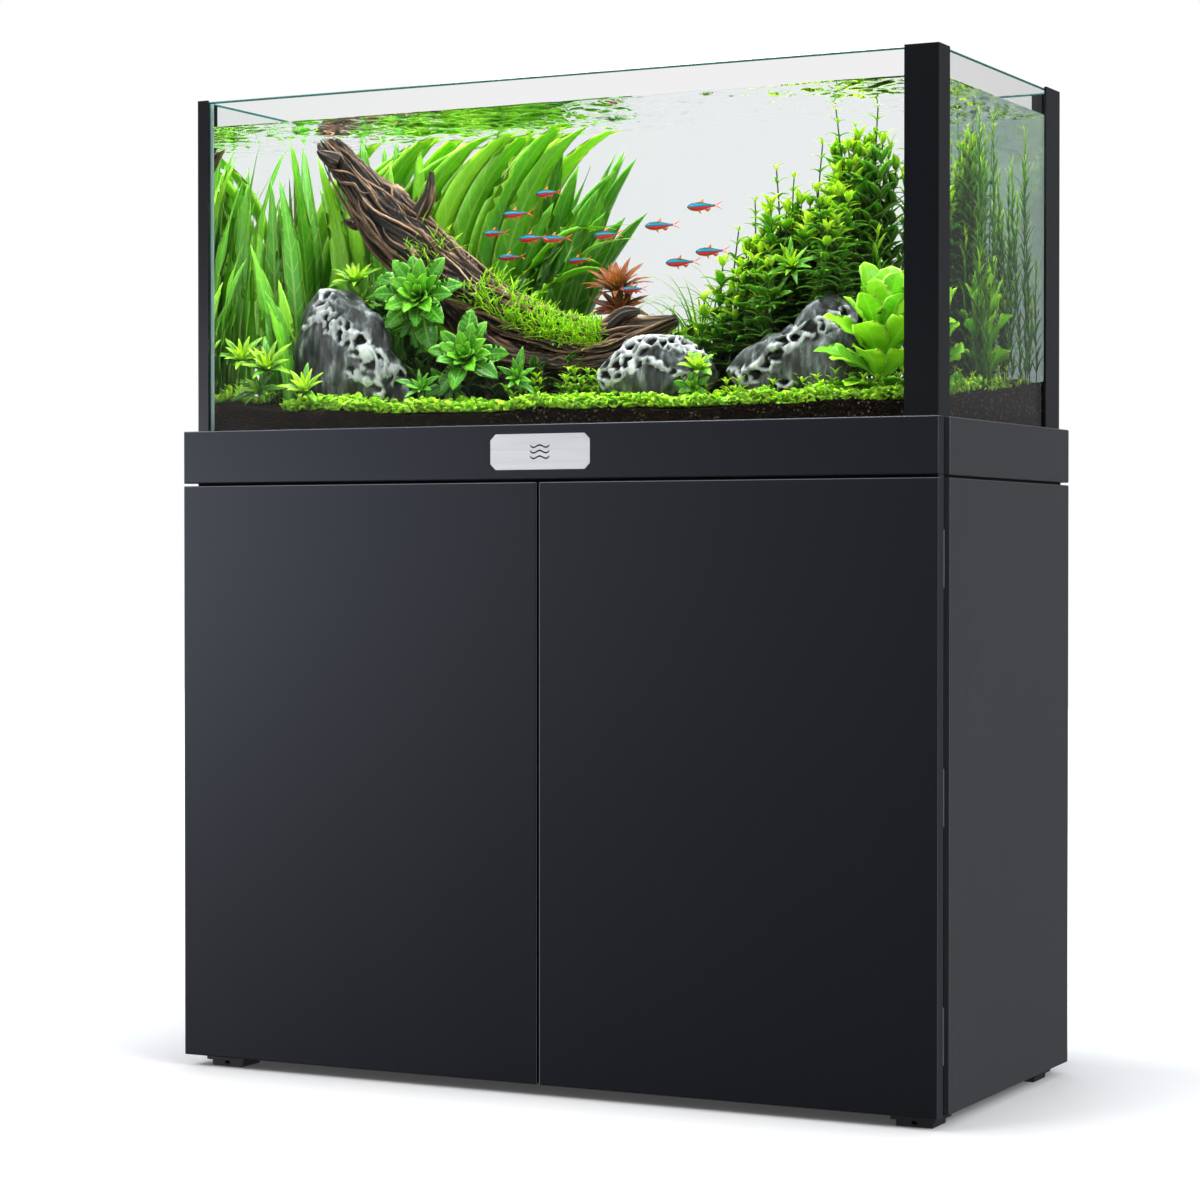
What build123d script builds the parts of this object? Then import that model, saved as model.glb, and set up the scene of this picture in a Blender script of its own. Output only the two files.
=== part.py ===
"""Planted aquarium on a two-door cabinet. Millimetres, +Z up, front towards -Y,
origin on the floor under the middle of the object."""
from build123d import *
import math
import os

# Overall sizes
width = 1000.0                  # over the doors and the side cladding
depth = 450.0                   # door fronts to rear trim
foot_height = 13.0
carcass_height = 710.0
band_height = 65.0              # base frame around the foot of the aquarium
glass_above_band = 411.5

# Cabinet
board = 16.0                    # carcass boards
back_panel_thickness = 8.0
door_thickness = 18.0
door_gap = 3.0                  # between the two doors
door_bottom_clearance = 1.0     # door edge above the carcass underside
door_standoff = 3.0             # door back to carcass front, filled by the hinge leaves
side_recess = 19.0              # dark groove between door and cladding
cladding_thickness = 8.0
edge_round = 1.5
shelf_clearance = 1.0
shelf_height = 347.0            # above the carcass underside
shelf_setback = 14.0
pin_radius = 2.5
pin_in_board = 10.0
pin_reach = 8.0
cable_slot_width = 120.0
cable_slot_height = 50.0
cable_slot_drop = 90.0          # slot centre below the carcass top
confirmat_radius = 2.5
confirmat_head_radius = 4.0
confirmat_head_length = 3.0
confirmat_length = 50.0

# Feet
foot_width = 44.0
foot_depth = 40.0
foot_flange = 5.0
foot_flange_thickness = 5.0
foot_inset_right = 12.0         # block side to cladding face
foot_inset_left = 30.0
foot_inset_front = 18.0         # block front to door face
foot_inset_rear = 50.0
foot_slot_width = 7.0
foot_slot_height = 5.0
foot_slot_depth = 6.0
foot_screw_radius = 2.5
foot_screw_head_radius = 5.0
foot_screw_head_height = 3.0
foot_screw_recess = 3.0
foot_screw_bite = 12.0

# Hinges
barrel_radius = 3.0
barrel_inset = 4.0              # barrel axis from the door's outer edge
barrel_clearance = 0.6          # barrel to door back
hinge_pin_radius = 1.5
hinge_running_clearance = 0.05
hinge_end_knuckle = 20.0
hinge_mid_knuckle = 24.0
knuckle_gap = 0.3
leaf_thickness = 1.2
leaf_reach = 19.0               # leaf edge from the barrel axis
leaf_notch = 4.0
hinge_end_distance = 90.0       # outer hinges from the carcass ends
hinge_screw_radius = 1.5
hinge_screw_head_radius = 2.8
hinge_screw_length = 12.0
hinge_screw_spacing = 40.0

# Push latches
latch_offset = 40.0             # latch axis from the middle of the cabinet
latch_width = 20.0
latch_height = 16.0
latch_length = 44.0
latch_setback = 1.0
plunger_radius = 4.0
plunger_clearance = 0.3
plunger_length = 27.0
plunger_free_travel = 5.0
latch_reach = 0.3               # plunger tip to strike plate
strike_width = 20.0
strike_height = 26.0
strike_thickness = 1.5

# Base frame
mat_thickness = 3.0
base_board_thickness = 12.0
base_front_step = 3.0           # base board stands this far in front of the carcass
side_rail_thickness = 3.0
front_rail_thickness = 6.0
rear_trim_thickness = 14.0
plate_width = 132.0
plate_height = 42.0
plate_thickness = 1.2
plate_corner = 7.0
plate_clearance = 0.4
plate_offset = 3.0
emblem_width = 26.0
emblem_line = 2.0
emblem_depth = 0.4
emblem_pitch = 6.5

# Aquarium
glass = 10.0
seam = 5.0
post_wall = 3.0
post_above_glass = 1.5
post_leg_left = 15.0
post_leg_right = 41.0
post_side_leg = 35.0
post_side_leg_rear = 50.0
freeboard = 32.0                # rim to water surface
water_gap = 0.3
soil_depth_front = 58.0         # above the glass floor
soil_depth_rear = 100.0
carpet_thickness = 10.0

# Levels and faces that follow from the sizes above
half = width / 2
front = -depth / 2
rear = depth / 2
carcass_bottom_z = foot_height
carcass_top_z = carcass_bottom_z + carcass_height
base_z = carcass_top_z + mat_thickness
rail_z = base_z + base_board_thickness
band_z = base_z + band_height
rim_z = band_z + glass_above_band
post_top_z = rim_z + post_above_glass
door_back = front + door_thickness
carcass_front = door_back + door_standoff
cladding_front = door_back + side_recess
carcass_half = half - cladding_thickness
carcass_rear = rear
panel_front = carcass_rear - back_panel_thickness
inner_half = carcass_half - board
barrel_x = half - barrel_inset
barrel_y = door_back + barrel_clearance + barrel_radius
hinge_length = 2 * hinge_end_knuckle + hinge_mid_knuckle
hinge_centres = (
    carcass_bottom_z + hinge_end_distance,
    carcass_bottom_z + carcass_height / 2,
    carcass_top_z - hinge_end_distance,
)
frame_front = carcass_front - base_front_step
trim_front = rear - rear_trim_thickness
tank_front = frame_front + front_rail_thickness
tank_rear = trim_front - side_rail_thickness
tank_half = carcass_half - side_rail_thickness
water_half = tank_half - glass
water_front = tank_front + glass
water_rear = tank_rear - glass
floor_z = rail_z + glass
water_z = rim_z - freeboard
soil_z = floor_z + soil_depth_front
latch_z = carcass_top_z - board - latch_height / 2
strike_back = door_back + strike_thickness


def slab(x, y, z):
    """A block between the two values given along each axis."""
    size = Box(x[1] - x[0], y[1] - y[0], z[1] - z[0])
    return Pos((x[0] + x[1]) / 2, (y[0] + y[1]) / 2, (z[0] + z[1]) / 2) * size


def rod_z(x, y, z, radius):
    """An upright cylinder between two heights."""
    return Pos(x, y, (z[0] + z[1]) / 2) * Cylinder(radius, z[1] - z[0])


def rod_y(x, y, z, radius):
    """A cylinder along Y between two depths."""
    return Pos(x, (y[0] + y[1]) / 2, z) * Rot(90, 0, 0) * Cylinder(radius, y[1] - y[0])


def rod_x(x, y, z, radius):
    """A cylinder along X between two places."""
    return Pos((x[0] + x[1]) / 2, y, z) * Rot(0, 90, 0) * Cylinder(radius, x[1] - x[0])


def span(side, near, far):
    """The two x values of a piece on the left (-1) or right (1), low value first."""
    return tuple(sorted((side * near, side * far)))


def softened(solid, radius):
    """Every edge of a board rounded by the same small radius."""
    return fillet(solid.edges(), radius)


nodes = {}


def keep(name, *solids):
    """Hold the solids of one named piece until they are written out."""
    nodes[name] = list(solids)


# Cabinet carcass ---------------------------------------------------------

def confirmats():
    """Connecting screws through the sides into the ends of the bottom and top boards."""
    screws = []
    for side in (-1, 1):
        for z in (carcass_bottom_z + board / 2, carcass_top_z - board / 2):
            for share in (0.2, 0.45, 0.7):
                y = carcass_front + share * (panel_front - carcass_front)
                tip = carcass_half - confirmat_length
                neck = carcass_half - confirmat_head_length
                shank = rod_x(span(side, tip, neck), y, z, confirmat_radius)
                head = rod_x(span(side, neck, carcass_half), y, z, confirmat_head_radius)
                screws.append(shank + head)
    return screws


def shelf_pin_set():
    """Four plain pins that carry the shelf, half in the boards and half under the shelf."""
    z = carcass_bottom_z + shelf_height - pin_radius
    pins = []
    for share in (0.15, 0.85):
        y = carcass_front + share * (panel_front - carcass_front)
        pins.append(rod_x((board / 2 - pin_in_board / 2, board / 2 + pin_reach), y, z, pin_radius))
        pins.append(rod_x((inner_half - pin_reach, inner_half + pin_in_board), y, z, pin_radius))
    return pins


def cable_slot(side):
    """The slot in the back panel that hoses and cables leave through."""
    outline = SlotOverall(cable_slot_width, cable_slot_height)
    place = Plane(
        origin=(side * inner_half / 2, panel_front, carcass_top_z - cable_slot_drop),
        x_dir=(1, 0, 0), z_dir=(0, 1, 0))
    return extrude(place * outline, back_panel_thickness)


def foot_centres():
    """The middle of each foot block."""
    x_right = half - foot_inset_right - foot_width / 2
    x_left = -(half - foot_inset_left - foot_width / 2)
    y_front = front + foot_inset_front + foot_depth / 2
    y_rear = rear - foot_inset_rear - foot_depth / 2
    return [(x, y) for x in (x_left, x_right) for y in (y_front, y_rear)]


def foot_screw(x, y):
    """A pan-head screw up through a foot into the bottom board."""
    head_top = foot_screw_recess + foot_screw_head_height
    head = rod_z(x, y, (foot_screw_recess, head_top), foot_screw_head_radius)
    shank = rod_z(x, y, (head_top, foot_height + foot_screw_bite), foot_screw_radius)
    return head + shank


def foot(x, y):
    """A moulded glide: block, wider flange under the cabinet, slot in front, screw well."""
    block = slab(
        (x - foot_width / 2, x + foot_width / 2), (y - foot_depth / 2, y + foot_depth / 2),
        (0, foot_height))
    block = chamfer(block.edges().group_by(Axis.Z)[0], 1.0)
    flange = slab(
        (x - foot_width / 2 - foot_flange, x + foot_width / 2 + foot_flange),
        (y - foot_depth / 2 - foot_flange, y + foot_depth / 2 + foot_flange),
        (foot_height - foot_flange_thickness, foot_height))
    face = y - foot_depth / 2
    slot_z = foot_height / 2 - 1
    slot = slab(
        (x - foot_slot_width / 2, x + foot_slot_width / 2), (face, face + foot_slot_depth),
        (slot_z - foot_slot_height / 2, slot_z + foot_slot_height / 2))
    well = rod_z(x, y, (0, foot_screw_recess), foot_screw_head_radius)
    return block + flange - slot - well - foot_screw(x, y)


def make_carcass():
    screws = confirmats()
    pins = shelf_pin_set()
    leaf_screws = [hinge_screw(side, z, False) for side in (-1, 1) for z in hinge_screw_levels()]
    foot_screws = [foot_screw(x, y) for x, y in foot_centres()]
    full_y = (carcass_front, carcass_rear)
    inner_y = (carcass_front, panel_front)
    full_z = (carcass_bottom_z, carcass_top_z)
    inner_z = (carcass_bottom_z + board, carcass_top_z - board)
    for side, name in ((-1, "left"), (1, "right")):
        panel = slab(span(side, inner_half, carcass_half), full_y, full_z)
        keep("carcass_side_" + name, panel - screws - pins - leaf_screws)
        clad = slab(span(side, carcass_half, half), (cladding_front, rear), full_z)
        keep("side_cladding_" + name, softened(clad, edge_round))
    across = (-inner_half, inner_half)
    bottom = slab(across, inner_y, (carcass_bottom_z, carcass_bottom_z + board))
    keep("carcass_bottom", bottom - screws - foot_screws)
    keep("carcass_top", slab(across, inner_y, (carcass_top_z - board, carcass_top_z)) - screws)
    keep("centre_divider", slab((-board / 2, board / 2), inner_y, inner_z) - pins)
    back = slab(across, (panel_front, carcass_rear), full_z)
    keep("carcass_back", back - cable_slot(-1) - cable_slot(1))
    keep("carcass_screws", *screws)
    shelf_z = carcass_bottom_z + shelf_height
    shelf = slab(
        (board / 2 + shelf_clearance, inner_half - shelf_clearance),
        (carcass_front + shelf_setback, panel_front - shelf_clearance), (shelf_z, shelf_z + board))
    keep("shelf", shelf)
    keep("shelf_pins", *pins)
    keep("feet", *[foot(x, y) for x, y in foot_centres()])
    keep("foot_screws", *foot_screws)


# Doors, hinges and push latches --------------------------------------------

def hinge_screw_levels():
    """Heights of the screws, two in each hinge leaf."""
    reach = hinge_screw_spacing / 2
    return [z + step for z in hinge_centres for step in (-reach, reach)]


def hinge_screw(side, z, in_door):
    """A flush screw through one leaf, into the door or into the carcass edge."""
    x = side * (barrel_x - leaf_reach / 2 - 2)
    if in_door:
        head = rod_y(x, (door_back, door_back + leaf_thickness), z, hinge_screw_head_radius)
        return head + rod_y(x, (door_back - hinge_screw_length, door_back), z, hinge_screw_radius)
    head = rod_y(x, (carcass_front - leaf_thickness, carcass_front), z, hinge_screw_head_radius)
    return head + rod_y(x, (carcass_front, carcass_front + hinge_screw_length), z, hinge_screw_radius)


def hinge_leaf(side, z, in_door):
    """One leaf: a plate with its knuckles rolled round the pin, cut clear of the other leaf's."""
    low = z - hinge_length / 2
    high = z + hinge_length / 2
    mid = (low + hinge_end_knuckle, high - hinge_end_knuckle)
    ends = ((low, mid[0] - knuckle_gap), (mid[1] + knuckle_gap, high))
    if in_door:
        plate_y = (door_back, door_back + leaf_thickness)
        own, other, bore = (mid,), ends, hinge_pin_radius + hinge_running_clearance
    else:
        plate_y = (carcass_front - leaf_thickness, carcass_front)
        own, other, bore = ends, (mid,), hinge_pin_radius
    leaf = slab(span(side, barrel_x - leaf_reach, barrel_x), plate_y, (low, high))
    for lower, upper in other:
        cut = (lower - knuckle_gap, upper + knuckle_gap)
        notch = slab(span(side, barrel_x - leaf_notch, barrel_x + leaf_notch), plate_y, cut)
        leaf -= notch
    for lower, upper in own:
        leaf += rod_z(side * barrel_x, barrel_y, (lower, upper), barrel_radius)
    leaf -= rod_z(side * barrel_x, barrel_y, (low, high), bore)
    for level in hinge_screw_levels():
        if low < level < high:
            leaf -= hinge_screw(side, level, in_door)
    return leaf


def strike(side):
    """The plate on the door back that the latch plunger pushes on."""
    x = side * latch_offset
    plate = slab(
        (x - strike_width / 2, x + strike_width / 2), (door_back, strike_back),
        (latch_z - strike_height / 2, latch_z + strike_height / 2))
    return fillet(plate.edges().filter_by(Axis.Y), 3.0)


def latch_housing(side):
    """The latch body under the top board, bored for its plunger."""
    x = side * latch_offset
    face = carcass_front + latch_setback
    body = slab(
        (x - latch_width / 2, x + latch_width / 2), (face, face + latch_length),
        (latch_z - latch_height / 2, latch_z + latch_height / 2))
    bore_end = strike_back + latch_reach + plunger_length + plunger_free_travel
    return body - rod_y(x, (face, bore_end), latch_z, plunger_radius + plunger_clearance)


def plunger(side):
    """The sprung pusher, its tip rounded."""
    tip = strike_back + latch_reach
    rod = rod_y(side * latch_offset, (tip, tip + plunger_length), latch_z, plunger_radius)
    return fillet(rod.edges().group_by(Axis.Y)[0], 1.0)


def make_doors():
    for side, name in ((-1, "left"), (1, "right")):
        screws = [hinge_screw(side, z, True) for z in hinge_screw_levels()]
        door = slab(
            span(side, door_gap / 2, half), (front, door_back),
            (carcass_bottom_z + door_bottom_clearance, carcass_top_z))
        keep("door_" + name, softened(door, edge_round) - screws)
        keep("hinge_screws_door_" + name, *screws)
        keep("hinge_leaves_door_" + name, *[hinge_leaf(side, z, True) for z in hinge_centres])
        keep("hinge_leaves_carcass_" + name, *[hinge_leaf(side, z, False) for z in hinge_centres])
        keep("latch_strike_" + name, strike(side))
        keep("latch_plunger_" + name, plunger(side))
    pins = []
    carcass_screws = []
    for side in (-1, 1):
        for z in hinge_centres:
            ends = (z - hinge_length / 2, z + hinge_length / 2)
            pins.append(rod_z(side * barrel_x, barrel_y, ends, hinge_pin_radius))
        carcass_screws += [hinge_screw(side, z, False) for z in hinge_screw_levels()]
    keep("latch_housings", latch_housing(-1), latch_housing(1))
    keep("hinge_pins", *pins)
    keep("hinge_screws_carcass", *carcass_screws)


# Base frame of the aquarium ------------------------------------------------

def plate_outline(clearance):
    """The nameplate's outline: a rectangle with cut corners."""
    outline = Rectangle(plate_width + 2 * clearance, plate_height + 2 * clearance)
    return chamfer(outline.vertices(), plate_corner)


def plate_plane(inset):
    """The plane of the nameplate, the given distance behind the fascia's face."""
    middle = (plate_offset, front + inset, (base_z + band_z) / 2)
    return Plane(origin=middle, x_dir=(1, 0, 0), z_dir=(0, -1, 0))


def emblem_waves():
    """Three plain wave lines let into the nameplate."""
    waves = []
    step = emblem_width / 4
    for row in (-1, 0, 1):
        low = row * emblem_pitch
        points = [(step * k - emblem_width / 2, low + (-1) ** k * 1.2) for k in range(5)]
        upper = [(x, y + emblem_line) for x, y in reversed(points)]
        line = Wire([Spline(*points), Line(points[-1], upper[0]), Spline(*upper),
                     Line(upper[-1], points[0])])
        sketch = plate_plane(emblem_depth) * Pos(0, -emblem_line / 2) * make_face(line)
        waves.append(extrude(sketch, emblem_depth))
    return waves


def make_base_frame():
    mat = slab(
        (-carcass_half, carcass_half), (carcass_front, panel_front), (carcass_top_z, base_z))
    keep("levelling_mat", mat)
    frame_y = (frame_front, trim_front)
    keep("base_board", slab((-carcass_half, carcass_half), frame_y, (base_z, rail_z)))
    rail = (rail_z, band_z)
    across = (-carcass_half, carcass_half)
    keep(
        "base_rails",
        slab(across, (frame_front, tank_front), rail),
        slab(across, (tank_rear, trim_front), rail),
        slab((-carcass_half, -tank_half), (tank_front, tank_rear), rail),
        slab((tank_half, carcass_half), (tank_front, tank_rear), rail))
    band = (base_z, band_z)
    fascia = softened(slab((-half, half), (front, frame_front), band), edge_round)
    pocket = extrude(plate_plane(0) * plate_outline(plate_clearance), -plate_thickness)
    keep("fascia_front", fascia - pocket)
    waves = emblem_waves()
    plate = extrude(plate_plane(0) * plate_outline(0), -plate_thickness)
    keep("nameplate", plate - waves)
    keep("nameplate_emblem", *waves)
    trims = [slab(span(side, carcass_half, half), (cladding_front, rear), band) for side in (-1, 1)]
    keep("side_trims", *[softened(trim, edge_round) for trim in trims])
    keep("rear_trim", slab(across, (trim_front, rear), band))


# Glass, posts and seams ------------------------------------------------------

def pane(x, y, z):
    """A float-glass pane with its upper edges ground to a small arris."""
    sheet = slab(x, y, z)
    return chamfer(sheet.edges().group_by(Axis.Z)[-1], 0.8)


def bead(origin, along, toward_x, toward_z, length):
    """A silicone fillet with a three-cornered section, along one inside corner."""
    place = Plane(origin=origin, x_dir=toward_x, z_dir=along)
    up = place.y_dir.dot(Vector(*toward_z))
    corner = Polygon((0, 0), (seam, 0), (0, math.copysign(seam, up)), align=None)
    return extrude(place * corner, length, dir=along)


def seam_beads():
    """Upright beads in the four corners and lying beads round the floor."""
    beads = []
    tall = rim_z - floor_z - glass / 5
    for sx in (-1, 1):
        for y, sy in ((water_front, 1), (water_rear, -1)):
            corner = (sx * water_half, y, floor_z)
            beads.append(bead(corner, (0, 0, 1), (-sx, 0, 0), (0, sy, 0), tall))
    long_run = 2 * (water_half - seam)
    short_run = water_rear - water_front - 2 * seam
    for y, sy in ((water_front, 1), (water_rear, -1)):
        start = (-water_half + seam, y, floor_z)
        beads.append(bead(start, (1, 0, 0), (0, sy, 0), (0, 0, 1), long_run))
    for sx in (-1, 1):
        start = (sx * water_half, water_front + seam, floor_z)
        beads.append(bead(start, (0, 1, 0), (-sx, 0, 0), (0, 0, 1), short_run))
    return beads


def corner_post(sx, sy, leg, side_leg):
    """An L-section post that caps one upright corner of the glass."""
    y_face = tank_front - post_wall if sy < 0 else tank_rear + post_wall
    y_inner = tank_front if sy < 0 else tank_rear
    z = (band_z, post_top_z)
    flat = slab(span(sx, carcass_half - leg, carcass_half), sorted((y_face, y_inner)), z)
    y_end = y_inner - sy * (side_leg - post_wall)
    return flat + slab(span(sx, tank_half, carcass_half), sorted((y_inner, y_end)), z)


def make_tank():
    across = (-tank_half, tank_half)
    tank_y = (tank_front, tank_rear)
    wall_z = (floor_z, rim_z)
    keep("glass_bottom", slab(across, tank_y, (rail_z, floor_z)))
    keep("glass_front", pane(across, (tank_front, water_front), wall_z))
    keep("glass_back", pane(across, (water_rear, tank_rear), wall_z))
    for side, name in ((-1, "left"), (1, "right")):
        end = pane(span(side, water_half, tank_half), (water_front, water_rear), wall_z)
        keep("glass_" + name, end)
    keep("silicone_seams", *seam_beads())
    keep("corner_post_front_left", corner_post(-1, -1, post_leg_left, post_side_leg))
    keep("corner_post_front_right", corner_post(1, -1, post_leg_right, post_side_leg))
    keep("corner_post_rear_left", corner_post(-1, 1, post_leg_left, post_side_leg))
    keep("corner_post_rear_right", corner_post(1, 1, post_leg_right, post_side_leg_rear))


# What lives in the aquarium --------------------------------------------------

def in_tank(x_share, y_share, z_share):
    """A place in the water: shares of the half length, of the half depth, and of the
    height between the soil at the front and the surface."""
    middle = (water_front + water_rear) / 2
    reach = (water_rear - water_front) / 2
    return (x_share * water_half, middle + y_share * reach, soil_z + z_share * (water_z - soil_z))


def soil_height(y):
    """The soil's surface, which climbs from front to rear."""
    share = (y - water_front) / (water_rear - water_front)
    return floor_z + soil_depth_front + share * (soil_depth_rear - soil_depth_front)


def soil_section(x, thickness, y):
    """A slab of the given thickness that lies on the soil, or the soil itself."""
    low = [floor_z, floor_z] if thickness == 0 else [soil_height(y[0]), soil_height(y[1])]
    high = [soil_height(y[0]) + thickness, soil_height(y[1]) + thickness]
    outline = Polygon((y[0], low[0]), (y[1], low[1]), (y[1], high[1]), (y[0], high[0]), align=None)
    return extrude(Plane(origin=(x[0], 0, 0), x_dir=(0, 1, 0), z_dir=(1, 0, 0)) * outline, x[1] - x[0])


def ring(origin, along, radii):
    """A seven-sided section across the given direction, uneven by the radii given."""
    along = Vector(*along).normalized()
    cross = Vector(0, 1, 0) if abs(along.Z) > 0.95 else Vector(0, 0, 1)
    x_dir = cross - along * cross.dot(along)
    place = Plane(origin=origin, x_dir=tuple(x_dir), z_dir=tuple(along))
    corners = []
    for k in range(7):
        turn = 2 * math.pi * k / 7
        corners.append((radii[0] * math.cos(turn), radii[1] * math.sin(turn)))
    return place * Polygon(*corners, align=None)


def lofted(stations):
    """A closed faceted solid through sections given as (place, direction, radii)."""
    return loft([ring(*station) for station in stations], ruled=True)


def rock(x_share, y_share, across, through, tall, lean):
    """A boulder, broad at its foot and leaning, bedded a little in the soil."""
    x, y, _ = in_tank(x_share, y_share, 0)
    foot_level = soil_height(y) - 12
    stations = []
    for level, swell in ((0, 0.96), (0.3, 1.0), (0.68, 0.76), (1.0, 0.30)):
        place = (x + lean * level, y + 0.1 * through * level, foot_level + level * (tall + 12))
        stations.append((place, (0, 0, 1), (through * swell / 2, across * swell / 2)))
    return lofted(stations)


def limb(course):
    """A limb through places given as shares, each with its radius."""
    points = [Vector(*in_tank(*entry[:3])) for entry in course]
    stations = []
    for k, entry in enumerate(course):
        before = points[max(k - 1, 0)]
        after = points[min(k + 1, len(points) - 1)]
        stations.append((tuple(points[k]), tuple(after - before), (entry[3], entry[3])))
    return lofted(stations)


def driftwood():
    """One branch from just under the surface, down to the right, on a foot in the soil."""
    branch = limb((
        (-0.800, -0.02, 0.975, 20), (-0.690, -0.04, 0.785, 29), (-0.600, -0.05, 0.66, 37),
        (-0.425, -0.06, 0.475, 35), (-0.215, -0.08, 0.315, 29), (-0.020, -0.08, 0.245, 25),
        (0.200, -0.03, 0.310, 12)))
    foot_limb = limb(((-0.30, -0.08, 0.36, 16), (-0.285, -0.10, 0.18, 17), (-0.290, -0.10, 0.0, 14)))
    return branch + foot_limb


def bush(x_share, y_share, z_share, foot_radius, top_radius, lean=0.0):
    """A plant's outline: a leaning seven-sided column that stands on the soil."""
    x, y, top = in_tank(x_share, y_share, z_share)
    low = soil_height(y) - 6
    stations = [
        ((x, y, low), (0, 0, 1), (foot_radius * 0.6, foot_radius * 0.6)),
        ((x + lean * 0.4, y, low + (top - low) * 0.5), (0, 0, 1), (foot_radius, foot_radius)),
        ((x + lean, y, top), (0, 0, 1), (top_radius, top_radius))]
    return lofted(stations)


def rosette(x_share, y_share, z_share, radius):
    """A whorl of leaves, as wide as it is tall, growing on the wood or a rock."""
    x, y, z = in_tank(x_share, y_share, z_share)
    stations = []
    for step, swell in ((-0.8, 0.35), (0, 1.0), (0.7, 0.45)):
        stations.append(((x, y, z + step * radius), (0, 0, 1), (radius * swell, radius * swell)))
    return lofted(stations)


def fish_body(x_share, y_share, z_share, length):
    """A slim fish, nose to -X."""
    x, y, z = in_tank(x_share, y_share, z_share)
    stations = []
    for along, swell in ((-0.5, 0.2), (-0.2, 1.0), (0.1, 0.9), (0.5, 0.15)):
        stations.append(((x + along * length, y, z), (1, 0, 0), (length * 0.12 * swell, length * 0.07 * swell)))
    return lofted(stations)


shoal = (
    (0.285, 0.00, 0.686, 45), (0.165, 0.02, 0.631, 44), (0.017, 0.00, 0.609, 43),
    (0.303, 0.03, 0.538, 44), (0.225, 0.00, 0.505, 43), (-0.170, 0.10, 0.765, 40),
    (-0.260, 0.10, 0.700, 42), (-0.150, 0.12, 0.610, 40), (-0.215, 0.10, 0.615, 44),
    (-0.330, 0.14, 0.640, 36), (-0.300, 0.24, 0.560, 36), (-0.110, 0.30, 0.540, 36),
    (0.060, 0.20, 0.430, 36))


def make_contents(beads):
    across = (-water_half, water_half)
    fore_aft = (water_front, water_rear)
    rocks = {
        "rock_left": rock(-0.650, -0.42, 170, 84, 165, -22),
        "rock_centre": rock(0.228, -0.53, 166, 68, 86, -12),
        "rock_right": rock(0.540, -0.33, 165, 80, 128, 50)}
    wood = driftwood()
    soil = soil_section(across, 0, fore_aft) - beads - wood
    for name, stone in rocks.items():
        keep(name, stone)
        soil -= stone
    plants = {
        "strap_plants_left": [
            bush(-0.90, 0.62, 0.80, 34, 22, -10), bush(-0.74, 0.74, 0.96, 38, 30),
            bush(-0.56, 0.74, 0.93, 34, 30)],
        "strap_plants_centre": [
            bush(-0.38, 0.72, 0.95, 34, 26), bush(-0.20, 0.72, 0.95, 34, 26, 20),
            bush(-0.03, 0.76, 0.72, 30, 16, 25)],
        "red_stem_plant": [bush(0.00, 0.37, 0.50, 20, 14)],
        "stem_plants_right": [
            bush(0.30, 0.50, 0.42, 42, 26), bush(0.48, 0.56, 0.68, 44, 26),
            bush(0.66, 0.50, 0.88, 40, 24), bush(0.83, 0.55, 0.93, 36, 22)],
        "broadleaf_plant_right": [bush(0.835, -0.62, 0.44, 40, 30)],
        "rosette_plants": [
            rosette(-0.49, -0.40, 0.44, 34), rosette(-0.31, -0.52, 0.20, 34),
            rosette(-0.06, -0.62, 0.12, 22)]}
    placed = [wood] + list(rocks.values())
    for name, members in plants.items():
        trimmed = []
        for member in members:
            trimmed.append(member - [soil] - placed)
        placed += trimmed
        keep(name, *trimmed)
    lawn_y = (water_front + 8, water_front + 95)
    lawn = soil_section((-0.72 * water_half, 0.93 * water_half), carpet_thickness, lawn_y)
    lawn -= placed
    placed.append(lawn)
    keep("driftwood", wood)
    keep("substrate", soil)
    keep("carpet_plants", lawn)
    gap = water_gap
    water = slab(
        (-water_half + gap, water_half - gap), (water_front + gap, water_rear - gap),
        (floor_z + gap, water_z))
    keep("water", water - [soil] - beads - placed)
    keep("fish", *[fish_body(*entry) for entry in shoal])


make_carcass()
make_doors()
make_base_frame()
make_tank()
make_contents(nodes["silicone_seams"])

os.makedirs("parts", exist_ok=True)
for name, pieces in nodes.items():
    solids = [solid for piece in pieces for solid in piece.solids()]
    export_step(Compound(children=solids), "parts/" + name + ".step")
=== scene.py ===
"""A planted aquarium on a graphite two-door cabinet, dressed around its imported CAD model."""
import bmesh
import bpy
import math
import numpy as np
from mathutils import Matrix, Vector, noise


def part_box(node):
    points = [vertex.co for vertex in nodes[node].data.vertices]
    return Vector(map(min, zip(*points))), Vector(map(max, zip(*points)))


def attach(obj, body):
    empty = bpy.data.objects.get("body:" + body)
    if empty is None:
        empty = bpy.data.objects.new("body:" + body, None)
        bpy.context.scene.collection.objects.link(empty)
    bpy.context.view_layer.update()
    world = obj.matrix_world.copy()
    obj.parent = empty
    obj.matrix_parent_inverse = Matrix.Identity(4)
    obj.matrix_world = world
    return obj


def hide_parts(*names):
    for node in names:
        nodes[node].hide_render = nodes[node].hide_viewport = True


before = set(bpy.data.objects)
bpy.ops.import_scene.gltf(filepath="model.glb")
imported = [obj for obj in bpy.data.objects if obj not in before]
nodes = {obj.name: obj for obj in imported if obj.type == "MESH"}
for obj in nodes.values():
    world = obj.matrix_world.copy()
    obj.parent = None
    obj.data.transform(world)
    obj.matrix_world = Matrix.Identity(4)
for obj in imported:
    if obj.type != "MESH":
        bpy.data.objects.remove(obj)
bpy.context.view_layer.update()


# Studio ------------------------------------------------------------------------
# A pale floor in a white room. The room is white to the eye and to what looks through the
# tank, and a soft grey gradient to what only mirrors it, as with flags beside the softboxes.

def put(name, data):
    """A new object in the scene."""
    thing = bpy.data.objects.new(name, data)
    bpy.context.scene.collection.objects.link(thing)
    return thing


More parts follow.
